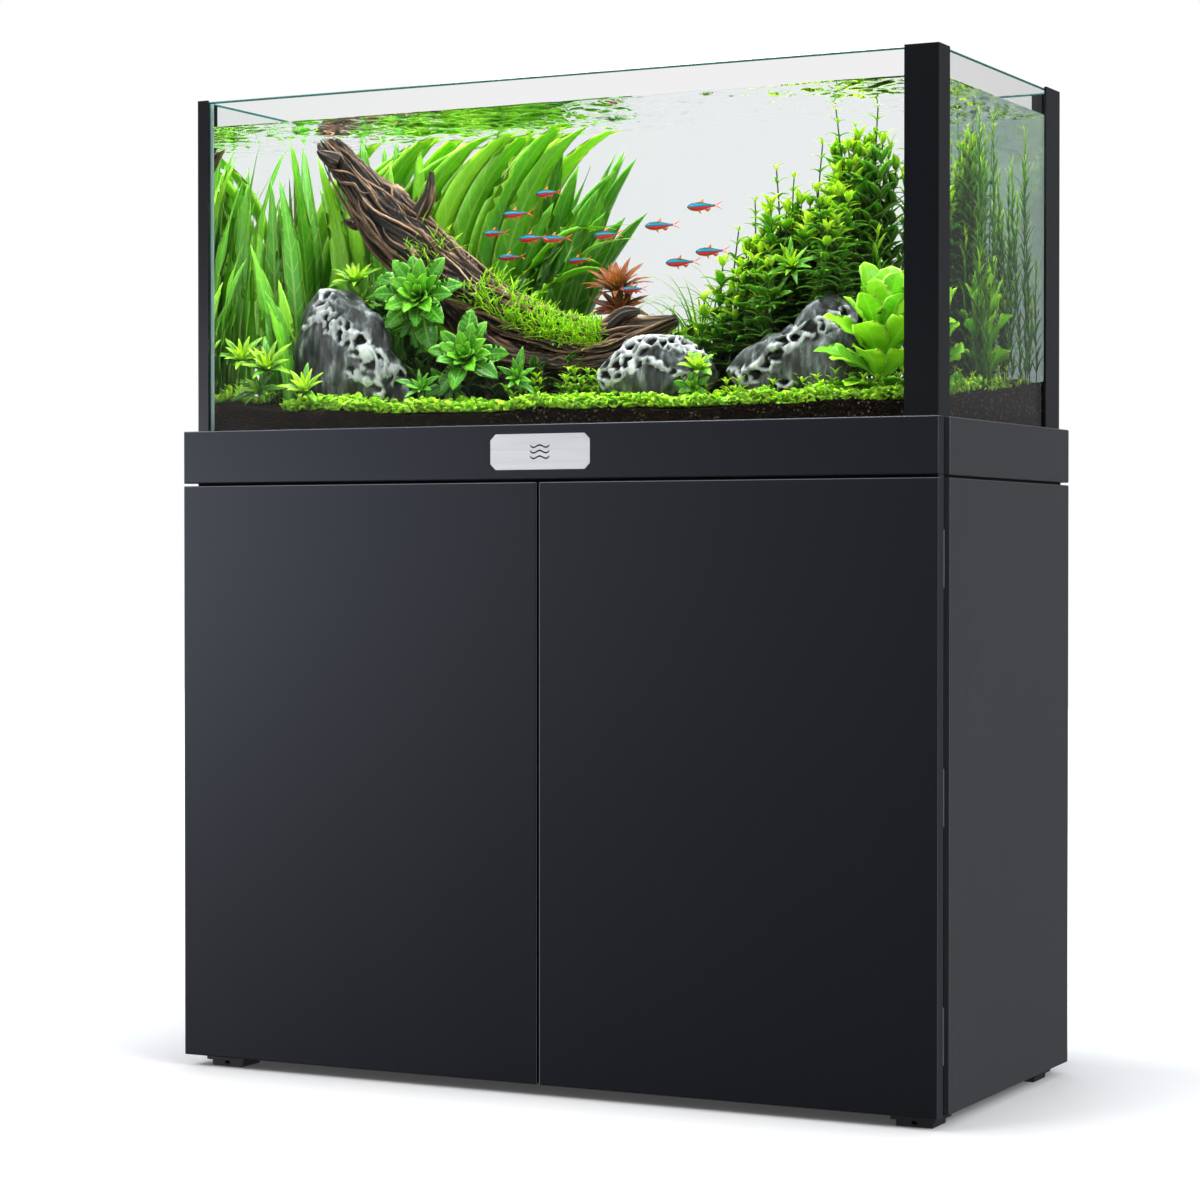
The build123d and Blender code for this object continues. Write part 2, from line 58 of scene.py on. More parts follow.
def studio_camera():
    """The taking camera, low and to the right, with a long lens."""
    downward, leftward = 0.787, 26.992
    data = bpy.data.cameras.new("studio_camera")
    data.lens = 92.9
    data.sensor_width = 36.0
    camera = put("studio_camera", data)
    camera.location = (1.7147, -3.4296, 0.6343)
    camera.rotation_euler = (math.radians(90 - downward), 0, math.radians(leftward))
    bpy.context.scene.camera = camera


def softbox(name, place, target, size, watts):
    """A large soft lamp aimed at a point."""
    data = bpy.data.lights.new(name, "AREA")
    data.shape = "RECTANGLE"
    data.size, data.size_y = size
    data.energy = watts
    lamp = put(name, data)
    lamp.location = place
    lamp.rotation_euler = (Vector(target) - Vector(place)).to_track_quat("-Z", "Y").to_euler()


class Wire:
    """The value at a socket. Sums over wires and numbers add their Math nodes."""

    def __init__(self, finish, socket):
        self.finish = finish
        self.socket = socket

    def __add__(self, other):
        return self.finish.math("ADD", self, other)

    def __radd__(self, other):
        return self.finish.math("ADD", other, self)

    def __sub__(self, other):
        return self.finish.math("SUBTRACT", self, other)

    def __rsub__(self, other):
        return self.finish.math("SUBTRACT", other, self)

    def __mul__(self, other):
        return self.finish.math("MULTIPLY", self, other)

    def __rmul__(self, other):
        return self.finish.math("MULTIPLY", other, self)

    def __rpow__(self, other):
        return self.finish.math("POWER", other, self)

    def __gt__(self, other):
        return self.finish.math("GREATER_THAN", self, other)


class Finish:
    """A node tree being built: a material's, or the room's."""

    def __init__(self, name, owner=None):
        self.owner = owner or bpy.data.materials.new(name)
        self.owner.use_nodes = True
        self.tree = self.owner.node_tree
        self.tree.nodes.clear()

    def add(self, kind, sockets=None, out=0, **settings):
        """Adds one node: its settings first, then the values or wires of its sockets."""
        node = self.tree.nodes.new(kind)
        for key, value in settings.items():
            setattr(node, key, value)
        for key, value in (sockets or {}).items():
            if isinstance(value, Wire):
                self.tree.links.new(value.socket, node.inputs[key])
            elif isinstance(value, tuple) and len(value) == 3 and node.inputs[key].type == "RGBA":
                node.inputs[key].default_value = (*value, 1)
            else:
                node.inputs[key].default_value = value
        return Wire(self, node.outputs[out])

    def math(self, operation, *values):
        """One Math node over wires and numbers."""
        return self.add("ShaderNodeMath", dict(enumerate(values)), operation=operation)

    def ray(self, fact):
        """Which kind of ray is asking, or how often it has bounced."""
        return self.add("ShaderNodeLightPath", out=fact)

    def axis(self, vector, key):
        """One component of a vector."""
        return self.add("ShaderNodeSeparateXYZ", {"Vector": vector}, out=key)

    def place(self, scale=(1, 1, 1)):
        """The point on the object, in metres times the scale."""
        point = self.add("ShaderNodeTexCoord", out="Object")
        return self.add("ShaderNodeMapping", {"Vector": point, "Scale": scale})

    def noise(self, scale, detail=3.0, stretch=(1, 1, 1), roughness=0.5):
        """Soft noise between 0 and 1; the scale is in waves a metre."""
        return self.add("ShaderNodeTexNoise", {"Vector": self.place(stretch), "Scale": scale,
                                               "Detail": detail, "Roughness": roughness})

    def step(self, value, low, high):
        """0 below low, 1 above high and smooth between."""
        return self.add("ShaderNodeMapRange", {"Value": value, "From Min": low, "From Max": high},
                        interpolation_type="SMOOTHSTEP")

    def between(self, value, low, high):
        """A value from 0 to 1 turned into one from low to high."""
        return self.add("ShaderNodeMapRange", {"Value": value, "To Min": low, "To Max": high})

    def ramp(self, value, *stops):
        """A colour ramp through stops, each a place and a colour."""
        wire = self.add("ShaderNodeValToRGB", {"Fac": value})
        elements = wire.socket.node.color_ramp.elements
        while len(elements) < len(stops):
            elements.new(0.5)
        for stop, (place, colour) in zip(elements, stops):
            stop.position = place
            stop.color = (*colour, 1)
        return wire

    def tint(self):
        """The four channels painted on a mesh: red, green, blue and alpha."""
        layer = self.add("ShaderNodeVertexColor", layer_name="tint")
        alpha = Wire(self, layer.socket.node.outputs["Alpha"])
        split = self.add("ShaderNodeSeparateColor", {"Color": layer}).socket.node
        return [Wire(self, split.outputs[key]) for key in ("Red", "Green", "Blue")] + [alpha]

    def mix(self, share, first, second, blend="MIX"):
        """A mix of two colours."""
        return self.add("ShaderNodeMix", {0: share, 6: first, 7: second}, out=2,
                        data_type="RGBA", blend_type=blend)

    def grey(self, value):
        """A value as an even colour."""
        return self.add("ShaderNodeCombineColor", {"Red": value, "Green": value, "Blue": value})

    def bump(self, height, distance, strength=1.0):
        """A bumped normal; the distance is in metres."""
        return self.add("ShaderNodeBump", {"Height": height, "Distance": distance, "Strength": strength})

    def blend(self, share, first, second):
        """A mix of two shaders."""
        return self.add("ShaderNodeMixShader", {0: share, 1: first, 2: second})

    def shader(self, **sockets):
        """The surface shader, its sockets named with underscores for spaces."""
        named = {key.replace("_", " "): value for key, value in sockets.items()}
        return self.add("ShaderNodeBsdfPrincipled", named)

    def done(self, surface, volume=None):
        """Joins the shader to the output and returns the material."""
        world = self.owner.bl_rna.identifier == "World"
        node = self.tree.nodes.new("ShaderNodeOutputWorld" if world else "ShaderNodeOutputMaterial")
        self.tree.links.new(surface.socket, node.inputs["Surface"])
        if volume:
            self.tree.links.new(volume.socket, node.inputs["Volume"])
        return self.owner


def studio_room():
    """White to the eye, dim to what it lights, and a soft ramp from the left in reflections.

    What has already bounced off the inside of the tank finds it nearly black, unless it has
    passed many surfaces: so the panes keep clear and the surface still mirrors what is below.
    """
    steepness, offset, brightest = 11.0, 5.66, 4.4
    room = Finish("studio_room", bpy.data.worlds.new("studio_room"))
    bpy.context.scene.world = room.owner
    view = room.add("ShaderNodeTexCoord", out="Generated")
    axis = {key: room.axis(view, key) for key in "XYZ"}
    ramp = 2.718 ** (axis["Z"] * steepness - axis["X"] * steepness - offset)
    capped = room.math("MINIMUM", ramp, brightest)
    front = capped * (1 - room.step(axis["Z"], 0.035, 0.075) * 0.95)
    rear = room.step(axis["Y"], 0.0, 0.5) * 0.18
    above = room.step(axis["Z"], 0.25, 0.7) * 2.2
    strip = room.step(axis["X"], 0.78, 0.88) * (1 - room.step(axis["Y"], -0.15, 0.0)) * 3.5
    mirrored = room.mix(1.0, room.grey(front + rear + above + strip), (0.97, 0.99, 1.06), "MULTIPLY")
    behind = room.ramp(
        axis["X"] * 0.5 + 0.5, (0.0, (0.34, 0.47, 0.43)), (0.10, (0.66, 0.74, 0.71)),
        (0.26, (0.90, 0.885, 0.89)), (1.0, (0.90, 0.885, 0.89)))
    deep = room.ray("Transmission Depth") > 4.5
    ghost = (room.ray("Glossy Depth") > 0.5) * (axis["Z"] > 0.0) * (1 - deep) * 0.93
    seen_through = room.mix(ghost, behind, (0.0, 0.0, 0.0))
    tone = room.mix(room.ray("Is Transmission Ray"), mirrored, seen_through)
    tone = room.mix(room.ray("Is Diffuse Ray"), tone, (0.34, 0.345, 0.35))
    tone = room.mix(room.ray("Is Camera Ray"), tone, (1.0, 1.0, 1.0))
    room.done(room.add("ShaderNodeBackground", {"Color": tone, "Strength": 1.0}))


def studio_floor():
    """A wide pale floor, bright enough to run into the white of the room: it glows with painted light, less
    near the cabinet, which paints a soft shadow round its foot.
    """
    reach = 9.0
    fade_from, fade_to = 0.45, 1.9
    corners = [(-reach, -reach, 0), (reach, -reach, 0), (reach, reach, 0), (-reach, reach, 0)]
    mesh = bpy.data.meshes.new("studio_floor")
    mesh.from_pydata(corners, [], [(0, 1, 2, 3)])
    floor = put("studio_floor", mesh)
    paint = Finish("studio_floor")
    tone = paint.mix(paint.noise(3.0), (0.86, 0.86, 0.865), (0.88, 0.88, 0.885))
    point = paint.add("ShaderNodeTexCoord", out="Object")
    away = paint.add("ShaderNodeVectorMath", {0: point}, out="Value", operation="LENGTH")
    # Painted light: the floor glows, faint near the cabinet and brighter further off, a painted soft shadow
    # round the cabinet.
    glow = paint.mix(paint.step(away, fade_from, fade_to), (0.05, 0.05, 0.05), (0.66, 0.66, 0.66))
    card = paint.shader(Base_Color=tone, Roughness=0.6, Emission_Color=glow, Emission_Strength=1.0)
    unseen = paint.add("ShaderNodeBsdfTransparent")
    mesh.materials.append(paint.done(paint.blend(paint.ray("Is Glossy Ray"), card, unseen)))


studio_camera()
studio_room()
studio_floor()
softbox("key_softbox", (-2.2, -2.8, 3.4), (0, 0, 0.5), (2.6, 2.0), 95)
softbox("side_softbox", (3.2, -1.4, 2.0), (0.2, 0, 0.5), (2.0, 2.0), 72)
softbox("tank_light", (0.0, -0.05, 1.95), (0, 0, 0.85), (1.1, 0.42), 43)
scene = bpy.context.scene
scene.view_settings.view_transform = "Standard"
scene.cycles.caustics_refractive = False
scene.cycles.caustics_reflective = False
scene.cycles.max_bounces = 24
scene.cycles.transmission_bounces = 20
scene.cycles.transparent_max_bounces = 32
scene.cycles.diffuse_bounces = 3
scene.cycles.glossy_bounces = 6


def finish_nodes(material, *names):
    """Gives CAD nodes their material."""
    for name in names:
        for slot in nodes[name].material_slots:
            slot.material = material


def times(colour, factor):
    """A colour made lighter or darker."""
    return tuple(channel * factor for channel in colour)


# Lacquered fronts and sides ----------------------------------------------------
# Doors, fascia, cladding and trims: board with a satin graphite lacquer, very fine orange
# peel and a gloss that varies a little. Doors hang on hinges; the rest is glued on.

def lacquer(name, colour, sheen):
    """Satin lacquer over a faintly clouded colour."""
    paint = Finish(name)
    cloud = paint.noise(2.2, 2.0)
    tone = paint.mix(cloud, times(colour, 0.92), times(colour, 1.08))
    peel = paint.noise(900.0, 1.0)
    smear = paint.noise(7.0, 4.0, (1, 1, 0.35))
    rough = paint.between(smear, sheen * 0.93, sheen * 1.07)
    return paint.done(paint.shader(
        Base_Color=tone, Roughness=rough, Specular_Tint=(0.82, 0.88, 1.0),
        Normal=paint.bump(peel, 0.00002, 0.5)))


finish_nodes(lacquer("front_lacquer", (0.0052, 0.0056, 0.0070), 0.20),
             "door_left", "door_right", "fascia_front")
finish_nodes(lacquer("side_lacquer", (0.019, 0.020, 0.022), 0.28),
             "side_cladding_left", "side_cladding_right", "side_trims", "rear_trim")


# Glass -------------------------------------------------------------------------
# Five panes of 10 mm float glass, bonded with silicone. Clear across, and green along the
# seamed edges, where the view runs through the pane. Lamps shine through to what is inside.

def clear_body(name, index, absorb, density, thin=None):
    """Glass or water: refracts what is seen, lets lamps and bounced light straight in.

    A pane names its thin axis, and gets a ground dark green edge round its two faces.
    """
    clear = Finish(name)
    body = clear.shader(
        Base_Color=(1.0, 1.0, 1.0), Roughness=0.0, IOR=index, Transmission_Weight=1.0,
        Specular_Tint=(0.12, 0.12, 0.12))
    if thin:
        seam = 0.0020
        facing = clear.math("ABSOLUTE", clear.axis(clear.add("ShaderNodeTexCoord", out="Normal"), thin))
        top = clear.axis(clear.place(), "Z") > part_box("glass_front")[1].z - seam
        seamed = 1 - (facing > 0.9) + top > 0.5
        ground = clear.shader(Base_Color=(0.010, 0.075, 0.062), Roughness=0.35)
        body = clear.blend(seamed, body, ground)
    through = clear.add("ShaderNodeBsdfTransparent", {"Color": (0.97, 0.985, 0.98)})
    unbent = clear.ray("Is Shadow Ray") + clear.ray("Is Diffuse Ray") > 0.5
    surface = clear.blend(unbent, body, through)
    depth = clear.add("ShaderNodeVolumeAbsorption", {"Color": absorb, "Density": density})
    return clear.done(surface, depth)


for thin, panes in (("Y", ("glass_front", "glass_back")), ("X", ("glass_left", "glass_right")),
                    ("Z", ("glass_bottom",))):
    finish_nodes(clear_body(f"float_glass_{thin.lower()}", 1.5, (0.06, 0.60, 0.54), 2.2, thin), *panes)


# Carcass, base frame and feet --------------------------------------------------
# Melamine-faced board screwed together, anodised posts and rails round the tank's base,
# moulded feet screwed on from below, and a foam mat that levels the tank.

def black_part(name, colour, rough, grain_scale, grain, stretch=(1, 1, 1), metallic=0.0):
    """A finish with its own grain: melamine, anodised or plated metal, enamel, moulded."""
    part = Finish(name)
    grains = part.noise(grain_scale, 4.0, stretch)
    tone = part.mix(grains, times(colour, 0.7), times(colour, 1.4))
    gloss = part.between(grains, rough * 0.85, rough * 1.15)
    return part.done(part.shader(
        Base_Color=tone, Roughness=gloss, Metallic=metallic, Normal=part.bump(grains, grain)))


finish_nodes(black_part("black_melamine", (0.010, 0.010, 0.011), 0.5, 400.0, 0.00005),
             "carcass_side_left", "carcass_side_right", "carcass_bottom", "carcass_top", "carcass_back",
             "centre_divider", "shelf", "base_board")
finish_nodes(black_part("black_anodised", (0.0030, 0.0032, 0.0040), 0.16, 1500.0, 0.00001),
             "corner_post_front_left", "corner_post_front_right", "corner_post_rear_left",
             "corner_post_rear_right", "base_rails")
finish_nodes(black_part("foot_plastic", (0.008, 0.008, 0.008), 0.5, 1200.0, 0.00005), "feet")
finish_nodes(black_part("mat_foam", (0.008, 0.008, 0.008), 0.9, 700.0, 0.0003), "levelling_mat")


# Silicone ----------------------------------------------------------------------
# Clear silicone, a bead in each inner corner, slightly cloudy and tooled smooth. It holds
# the panes together.

seal = Finish("clear_silicone")
cloudy = seal.noise(60.0)
finish_nodes(seal.done(seal.shader(
    Base_Color=seal.mix(cloudy, (0.30, 0.40, 0.37), (0.45, 0.55, 0.52)), Roughness=0.25,
    Subsurface_Weight=0.3, Subsurface_Radius=(0.6, 1.0, 0.9), Subsurface_Scale=0.002)), "silicone_seams")


# Nameplate ---------------------------------------------------------------------
# A stainless plate let into the band with its corners cut. Brushed lengthwise, with three
# plain wave lines filled in black enamel.

steel = Finish("brushed_plate")
strokes = steel.noise(260.0, 4.0, (0.04, 1, 1))
finish_nodes(steel.done(steel.shader(
    Base_Color=steel.mix(strokes, (0.62, 0.62, 0.63), (0.80, 0.80, 0.81)), Metallic=0.75,
    Roughness=steel.between(strokes, 0.26, 0.40),
    Normal=steel.bump(strokes, 0.00003, 0.5))), "nameplate")
finish_nodes(black_part("black_enamel", (0.012, 0.012, 0.013), 0.25, 500.0, 0.00001), "nameplate_emblem")


# Hinges and latches ------------------------------------------------------------
# Three steel butt hinges a door, screwed to the carcass edge and the door's back, and two
# push latches under the divider's front edge, each with a sprung plunger and a steel strike.

finish_nodes(black_part("zinc_steel", (0.42, 0.43, 0.45), 0.34, 700.0, 0.00002, (1, 1, 0.1), 1.0),
             "hinge_leaves_carcass_left", "hinge_leaves_carcass_right", "hinge_leaves_door_left",
             "hinge_leaves_door_right", "hinge_pins", "latch_strike_left", "latch_strike_right",
             "shelf_pins")
finish_nodes(black_part("black_steel", (0.030, 0.030, 0.032), 0.40, 900.0, 0.00001, (1, 1, 1), 0.9),
             "hinge_screws_carcass", "hinge_screws_door_left", "hinge_screws_door_right", "carcass_screws",
             "foot_screws")
finish_nodes(black_part("latch_plastic", (0.018, 0.018, 0.019), 0.42, 1300.0, 0.00003), "latch_housings",
             "latch_plunger_left", "latch_plunger_right")


# Water -------------------------------------------------------------------------
# Fresh water up to 32 mm under the rim, held by the panes. Its surface is gently rippled and
# mirrors the plants from below. The body stops a hair short of the glass.

water_low, water_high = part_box("water")
soil_low, soil_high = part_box("substrate")
front_soil = 0.806
surface_z = water_high.z


def tank(x, y, z=0.0):
    """A place in the tank: shares of the half length and half depth, height over the front soil."""
    middle = (water_low + water_high) / 2
    half = (water_high - water_low) / 2
    rise = surface_z - front_soil
    return np.array((middle.x + x * half.x, middle.y + y * half.y, front_soil + z * rise))


def ripples(x, y):
    """Height of the surface over its mean level: crossing wave trains, and short ones in patches."""
    height = np.zeros_like(x)
    waves = np.random.default_rng(11)
    for _ in range(26):
        length = waves.uniform(0.022, 0.11)
        heading = waves.normal(0.25, 0.75)
        phase = waves.uniform(0, 2 * math.pi)
        along = x * math.cos(heading) + y * math.sin(heading)
        bend = 0.012 * np.sin(2 * math.pi * (y * 7 + x * 3) + phase)
        height += 0.0056 * length * np.sin(2 * math.pi * (along + bend) / length + phase)
    patches = 0.5 + 0.5 * np.sin(x * 19 + 1) * np.sin(y * 31 + x * 11)
    for _ in range(7):
        length = waves.uniform(0.015, 0.028)
        heading = waves.uniform(0, math.pi)
        along = x * math.cos(heading) + y * math.sin(heading) + 0.004 * np.sin(x * 60 + y * 45)
        phase = waves.uniform(0, 6.28)
        height += 0.012 * length * patches * np.sin(2 * math.pi * along / length + phase)
    return height


def mesh_piece(name, points, faces, material, body="cabinet", tint=None):
    """A new smooth mesh object that rides on a body, from lists of points and faces."""
    mesh = bpy.data.meshes.new(name)
    mesh.from_pydata(np.asarray(points, float).tolist(), [], faces)
    mesh.polygons.foreach_set("use_smooth", [True] * len(mesh.polygons))
    if tint is not None:
        layer = mesh.attributes.new("tint", "FLOAT_COLOR", "POINT")
        layer.data.foreach_set("color", np.asarray(tint, np.float32).ravel())
    mesh.validate()
    mesh.materials.append(material)
    piece = put(name, mesh)
    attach(piece, body)
    return piece


def grid_quads(rows, columns, closed=False):
    """The quads of a grid of points, its columns joined round if closed."""
    row, column = np.meshgrid(np.arange(rows - 1), np.arange(columns - (not closed)), indexing="ij")
    a = row * columns + column
    b = row * columns + (column + 1) % columns
    return np.stack((a, b, b + columns, a + columns), -1).reshape(-1, 4)


def block(name, x, y, z, bottom, material, smooth):
    """A closed block: a grid of points for its top, upright walls and a level base."""
    rows, columns = x.shape
    top = np.stack((x, y, z), -1).reshape(-1, 3)
    count = columns * rows
    rim = np.concatenate((np.arange(columns), np.arange(1, rows) * columns + columns - 1,
                          count - 2 - np.arange(columns - 1), (rows - 2 - np.arange(rows - 2)) * columns))
    foot = top[rim].copy()
    foot[:, 2] = bottom
    base = count + np.arange(len(rim))
    walls = np.stack((rim, base, np.roll(base, -1), np.roll(rim, -1)), -1)
    faces = grid_quads(rows, columns).tolist() + walls.tolist() + [base[::-1].tolist()]
    piece = mesh_piece(name, np.concatenate((top, foot)), faces, material)
    flags = np.full(len(piece.data.polygons), smooth)
    flags[-len(walls) - 1:] = False
    piece.data.polygons.foreach_set("use_smooth", flags)
    return piece


def water_body():
    """The water, finely rippled on top, calmer near the panes and drawn up to them."""
    columns, rows = 400, 160
    x, y = np.meshgrid(np.linspace(water_low.x, water_high.x, columns),
                       np.linspace(water_low.y, water_high.y, rows))
    edge = np.minimum(np.minimum(x - water_low.x, water_high.x - x),
                      np.minimum(y - water_low.y, water_high.y - y))
    wet = 0.0012 * np.exp(-edge / 0.0015)
    calm = np.clip(edge / 0.030, 0.12, 1)
    z = surface_z + ripples(x, y) * calm + wet
    water = block("water_body", x, y, z, water_low.z, fresh_water, True)
    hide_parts("water")


fresh_water = clear_body("fresh_water", 1.333, (0.60, 0.86, 0.86), 0.28)
water_body()


# Aquarium soil -----------------------------------------------------------------
# Baked clay granules, dark brown to black, banked up to the rear and at the two ends. The
# grains at the surface are real geometry; through the panes they show as packed specks.

soil_rng = np.random.default_rng(5)


def soil_level(x, y):
    """The soil's surface: it climbs to the rear, and a little towards the ends."""
    share = (y - water_low.y) / (water_high.y - water_low.y)
    ends = 0.019 * np.clip((-x - 0.21) / 0.27, 0, 1) ** 1.4 + 0.006 * np.clip((x - 0.3) / 0.18, 0, 1)
    roll = 0.002 * np.sin(x * 21 + 1) + 0.0015 * np.sin(x * 47 + y * 19)
    return front_soil + share * (soil_high.z - front_soil) + ends * (1 - 0.6 * share) + roll


def soil_bed():
    """A closed bed: granular top, flat sides just inside the water's own faces."""
    columns, rows = 420, 150
    inset, grain_height, above_pane = 0.0003, 0.0022, 0.0006
    x, y = np.meshgrid(np.linspace(water_low.x + inset, water_high.x - inset, columns),
                       np.linspace(water_low.y + inset, water_high.y - inset, rows))
    grain = soil_rng.random((rows, columns)) ** 2
    z = soil_level(x, y) + grain_height * grain
    bed = block("soil_bed", x, y, z, soil_low.z + above_pane, soil_grains(), False)
    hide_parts("substrate")


def soil_grains():
    """Packed granules: each cell its own brown, with a few pale ones, and painted shade between them."""
    soil = Finish("soil_grains")
    shade, apart = (
        soil.add("ShaderNodeTexVoronoi", {"Vector": soil.place(), "Scale": 420.0}, out=out)
        for out in ("Color", "Distance"))
    pick = soil.add("ShaderNodeSeparateColor", {"Color": shade}, out="Red")
    tone = soil.ramp(pick, (0.0, (0.003, 0.002, 0.001)), (0.6, (0.012, 0.007, 0.004)),
                     (0.93, (0.032, 0.020, 0.011)), (1.0, (0.16, 0.12, 0.08)))
    # Painted shade: near black between the granules, where the gaps lie in shadow.
    colour = soil.mix(soil.step(apart, 0.35, 0.75), tone, (0.002, 0.0015, 0.001))
    return soil.done(soil.shader(
        Base_Color=colour, Roughness=0.85, Specular_IOR_Level=0.01,
        Normal=soil.bump(1 - apart, 0.0012, 0.8)))


soil_bed()


# Rocks -------------------------------------------------------------------------
# Three weathered limestones. Below they are smooth, dark and folded; above, the softer rock
# has dissolved into deep pits and left a net of chalky bridges. Each is bedded in the soil.

def along_line(points, line):
    """The shortest distance from points to a polyline, all in a plane."""
    best = np.full(len(points), 1e9)
    for a, b in zip(np.array(line[:-1], float), np.array(line[1:], float)):
        share = np.clip(((points - a) @ (b - a)) / ((b - a) @ (b - a)), 0, 1)
        best = np.minimum(best, np.linalg.norm(points - a - share[:, None] * (b - a), axis=1))
    return best


def limestone(name, node, middle, profile, deep, ribs, seed, cell):
    """A boulder inside a drawn profile, in millimetres, its pitted ribs along given lines."""
    slant = 0.36
    shape = bmesh.new()
    bmesh.ops.create_icosphere(shape, subdivisions=6, radius=1.0)
    unit = np.array([v.co for v in shape.verts])
    faces = [[v.index for v in face.verts] for face in shape.faces]
    shape.free()
    corners = np.array(profile, float)
    bearing = np.arctan2(corners[:, 1], corners[:, 0])
    order = np.argsort(bearing)
    turn = np.arctan2(unit[:, 2], unit[:, 0])
    reach = np.interp(turn, bearing[order], np.linalg.norm(corners[order], axis=1), period=2 * math.pi)
    flat = np.hypot(unit[:, 0], unit[:, 2])
    plane = np.stack((np.cos(turn), np.sin(turn)), -1) * (reach * flat ** 0.8)[:, None]
    limits = (corners[:, 1].min(), corners[:, 1].max())
    thick = unit[:, 1] * deep * (0.80 + 0.2 * np.interp(plane[:, 1], limits, (1, -1)))
    spots = np.stack((plane[:, 0] - slant * thick, thick, plane[:, 1]), -1)
    facets = np.random.default_rng(seed)
    for _ in range(12):
        cut = facets.normal(size=3) * (1, 1.5, 1)
        cut /= np.linalg.norm(cut)
        extent = spots @ cut
        beyond = np.maximum(extent - extent.max() * facets.uniform(0.72, 0.92), 0)
        spots -= 0.75 * beyond[:, None] * cut
    outward = unit * (1 / np.array((np.ptp(corners[:, 0]), 2 * deep, np.ptp(corners[:, 1]))))
    outward /= np.linalg.norm(outward, axis=1)[:, None]
    rib = np.zeros(len(spots))
    seen = np.stack((spots[:, 0] + slant * spots[:, 1], spots[:, 2]), -1)
    for line, wide in ribs:
        rib = np.maximum(rib, np.clip(1.35 - along_line(seen, line) / wide, 0, 1))
    offset, tint = np.zeros(len(spots)), np.zeros((len(spots), 4))
    shift = Vector((seed * 3.7, seed * 1.3, 0))
    for k, spot in enumerate(spots):
        at = Vector(spot)
        drawn = Vector((at.x, at.y, at.z * 0.35)) / 34
        fold = noise.ridged_multi_fractal(drawn + shift, 0.9, 2.1, 3, 1.0, 2.0) - 1.1
        warp = Vector((noise.noise(at / 14 + shift), noise.noise(at / 14 - shift), 0)) * 0.5
        edge = noise.voronoi(Vector((at.x, at.y * 0.8, at.z)) / cell + warp + shift)[0]
        wall = max(0, 1 - (edge[1] - edge[0]) / (0.34 + 0.16 * noise.noise(at / 9)))
        grit = noise.noise(at / 1.8 + shift)
        share = min(1, max(0, rib[k] * 1.5 + 0.8 * noise.noise(at / 13 - shift) - 0.35))
        net = 3.4 * wall ** 0.4 - 8.5 * (1 - wall) ** 2.2
        offset[k] = 2.8 * fold * (1 - share) + share * net + 0.25 * grit
        # Painted shade: the second tint channel grows where a point lies deep in the folds; the fourth
        # marks the pits.
        tint[k] = (share * wall, max(0, min(1, 0.5 - fold * 0.6)), 0, share * (1 - wall))
    spots = np.array(middle) + (spots + outward * offset[:, None]) / 1000
    spots[:, 2] = np.maximum(spots[:, 2], soil_low.z + 0.02)
    stone = mesh_piece(name, spots, faces, limestone_finish, tint=tint)
    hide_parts(node)


def rock_finish():
    """Dark wet limestone with chalky bridges over pits painted black as shade, and painted shade deeper in
    its folds.
    """
    rock = Finish("limestone")
    bridge, painted_fold_shade, _, painted_pit_shade = rock.tint()
    streaks = rock.noise(95.0, 6.0, (1, 1, 0.30), 0.62)
    speck = rock.noise(900.0, 3.0)
    # Painted shade: the body is darker where it lies deep in the folds.
    body = rock.ramp(
        streaks * 0.95 + speck * 0.15 - painted_fold_shade * 0.20 + 0.07, (0.30, (0.006, 0.006, 0.007)),
        (0.47, (0.028, 0.029, 0.029)), (0.60, (0.11, 0.112, 0.114)), (0.76, (0.40, 0.40, 0.41)))
    chalk = rock.step(bridge + speck * 0.22 + streaks * 0.15, 0.28, 0.72)
    worn = rock.mix(rock.step(streaks, 0.35, 0.62), (0.26, 0.26, 0.265), (0.62, 0.61, 0.61))
    pale = rock.mix(chalk, body, worn)
    # Painted shade: the pits are painted near black.
    colour = rock.mix(rock.step(painted_pit_shade, 0.40, 0.85), pale, (0.004, 0.004, 0.004))
    return rock.done(rock.shader(
        Base_Color=colour, Roughness=rock.between(chalk, 0.30, 0.6), Specular_IOR_Level=0.3,
        Normal=rock.bump(streaks + speck * 0.5, 0.0010, 0.7)))


limestone_finish = rock_finish()
limestone("rock_left_stone", "rock_left", (-0.3187, -0.078, 0.9007), (
    (-86, -30), (-79, 19), (-70, 48), (-52, 70), (-34, 82), (-17, 80), (5, 69), (19, 44), (40, 32),
    (55, -10), (69, -23), (81, -41), (86, -65), (80, -92), (-9, -98), (-80, -92)), 42,
    ((((-37, 74), (-44, 44), (-20, 20), (5, -1), (40, -28), (64, -42)), 17),
     (((-70, 22), (-46, 40)), 6), (((-4, -36), (30, -50), (56, -78)), 9)), 3, 15.0)
limestone("rock_centre_stone", "rock_centre", (0.1090, -0.100, 0.8603), (
    (-85, -34), (-76, -3), (-50, 20), (-24, 41), (-12, 42), (14, 36), (45, 24), (67, 12), (79, -9),
    (85, -32), (60, -52), (0, -56), (-66, -52)), 34,
    ((((-76, -14), (-46, 6), (-17, 34), (20, 32), (56, 14)), 15),
     (((-52, -12), (-12, 8), (30, -12), (52, -18)), 6)), 8, 14.0)
limestone("rock_right_stone", "rock_right", (0.2715, -0.060, 0.8831), (
    (-89, -42), (-83, -26), (-43, 5), (-16, 13), (1, 22), (15, 41), (35, 54), (62, 65), (80, 63), (90, 49),
    (87, 14), (85, -20), (80, -70), (9, -78), (-67, -72)), 40,
    ((((-83, -33), (-54, -34), (-19, -8), (3, 8), (30, 15), (60, 31)), 13),
     (((-29, -52), (-3, -46)), 6)), 14, 15.0)


# Driftwood ---------------------------------------------------------------------
# One root, from just under the surface down into the soil, held there by its own weight.
# Its soft wood has washed out between the fibres and left proud, wiry strands.

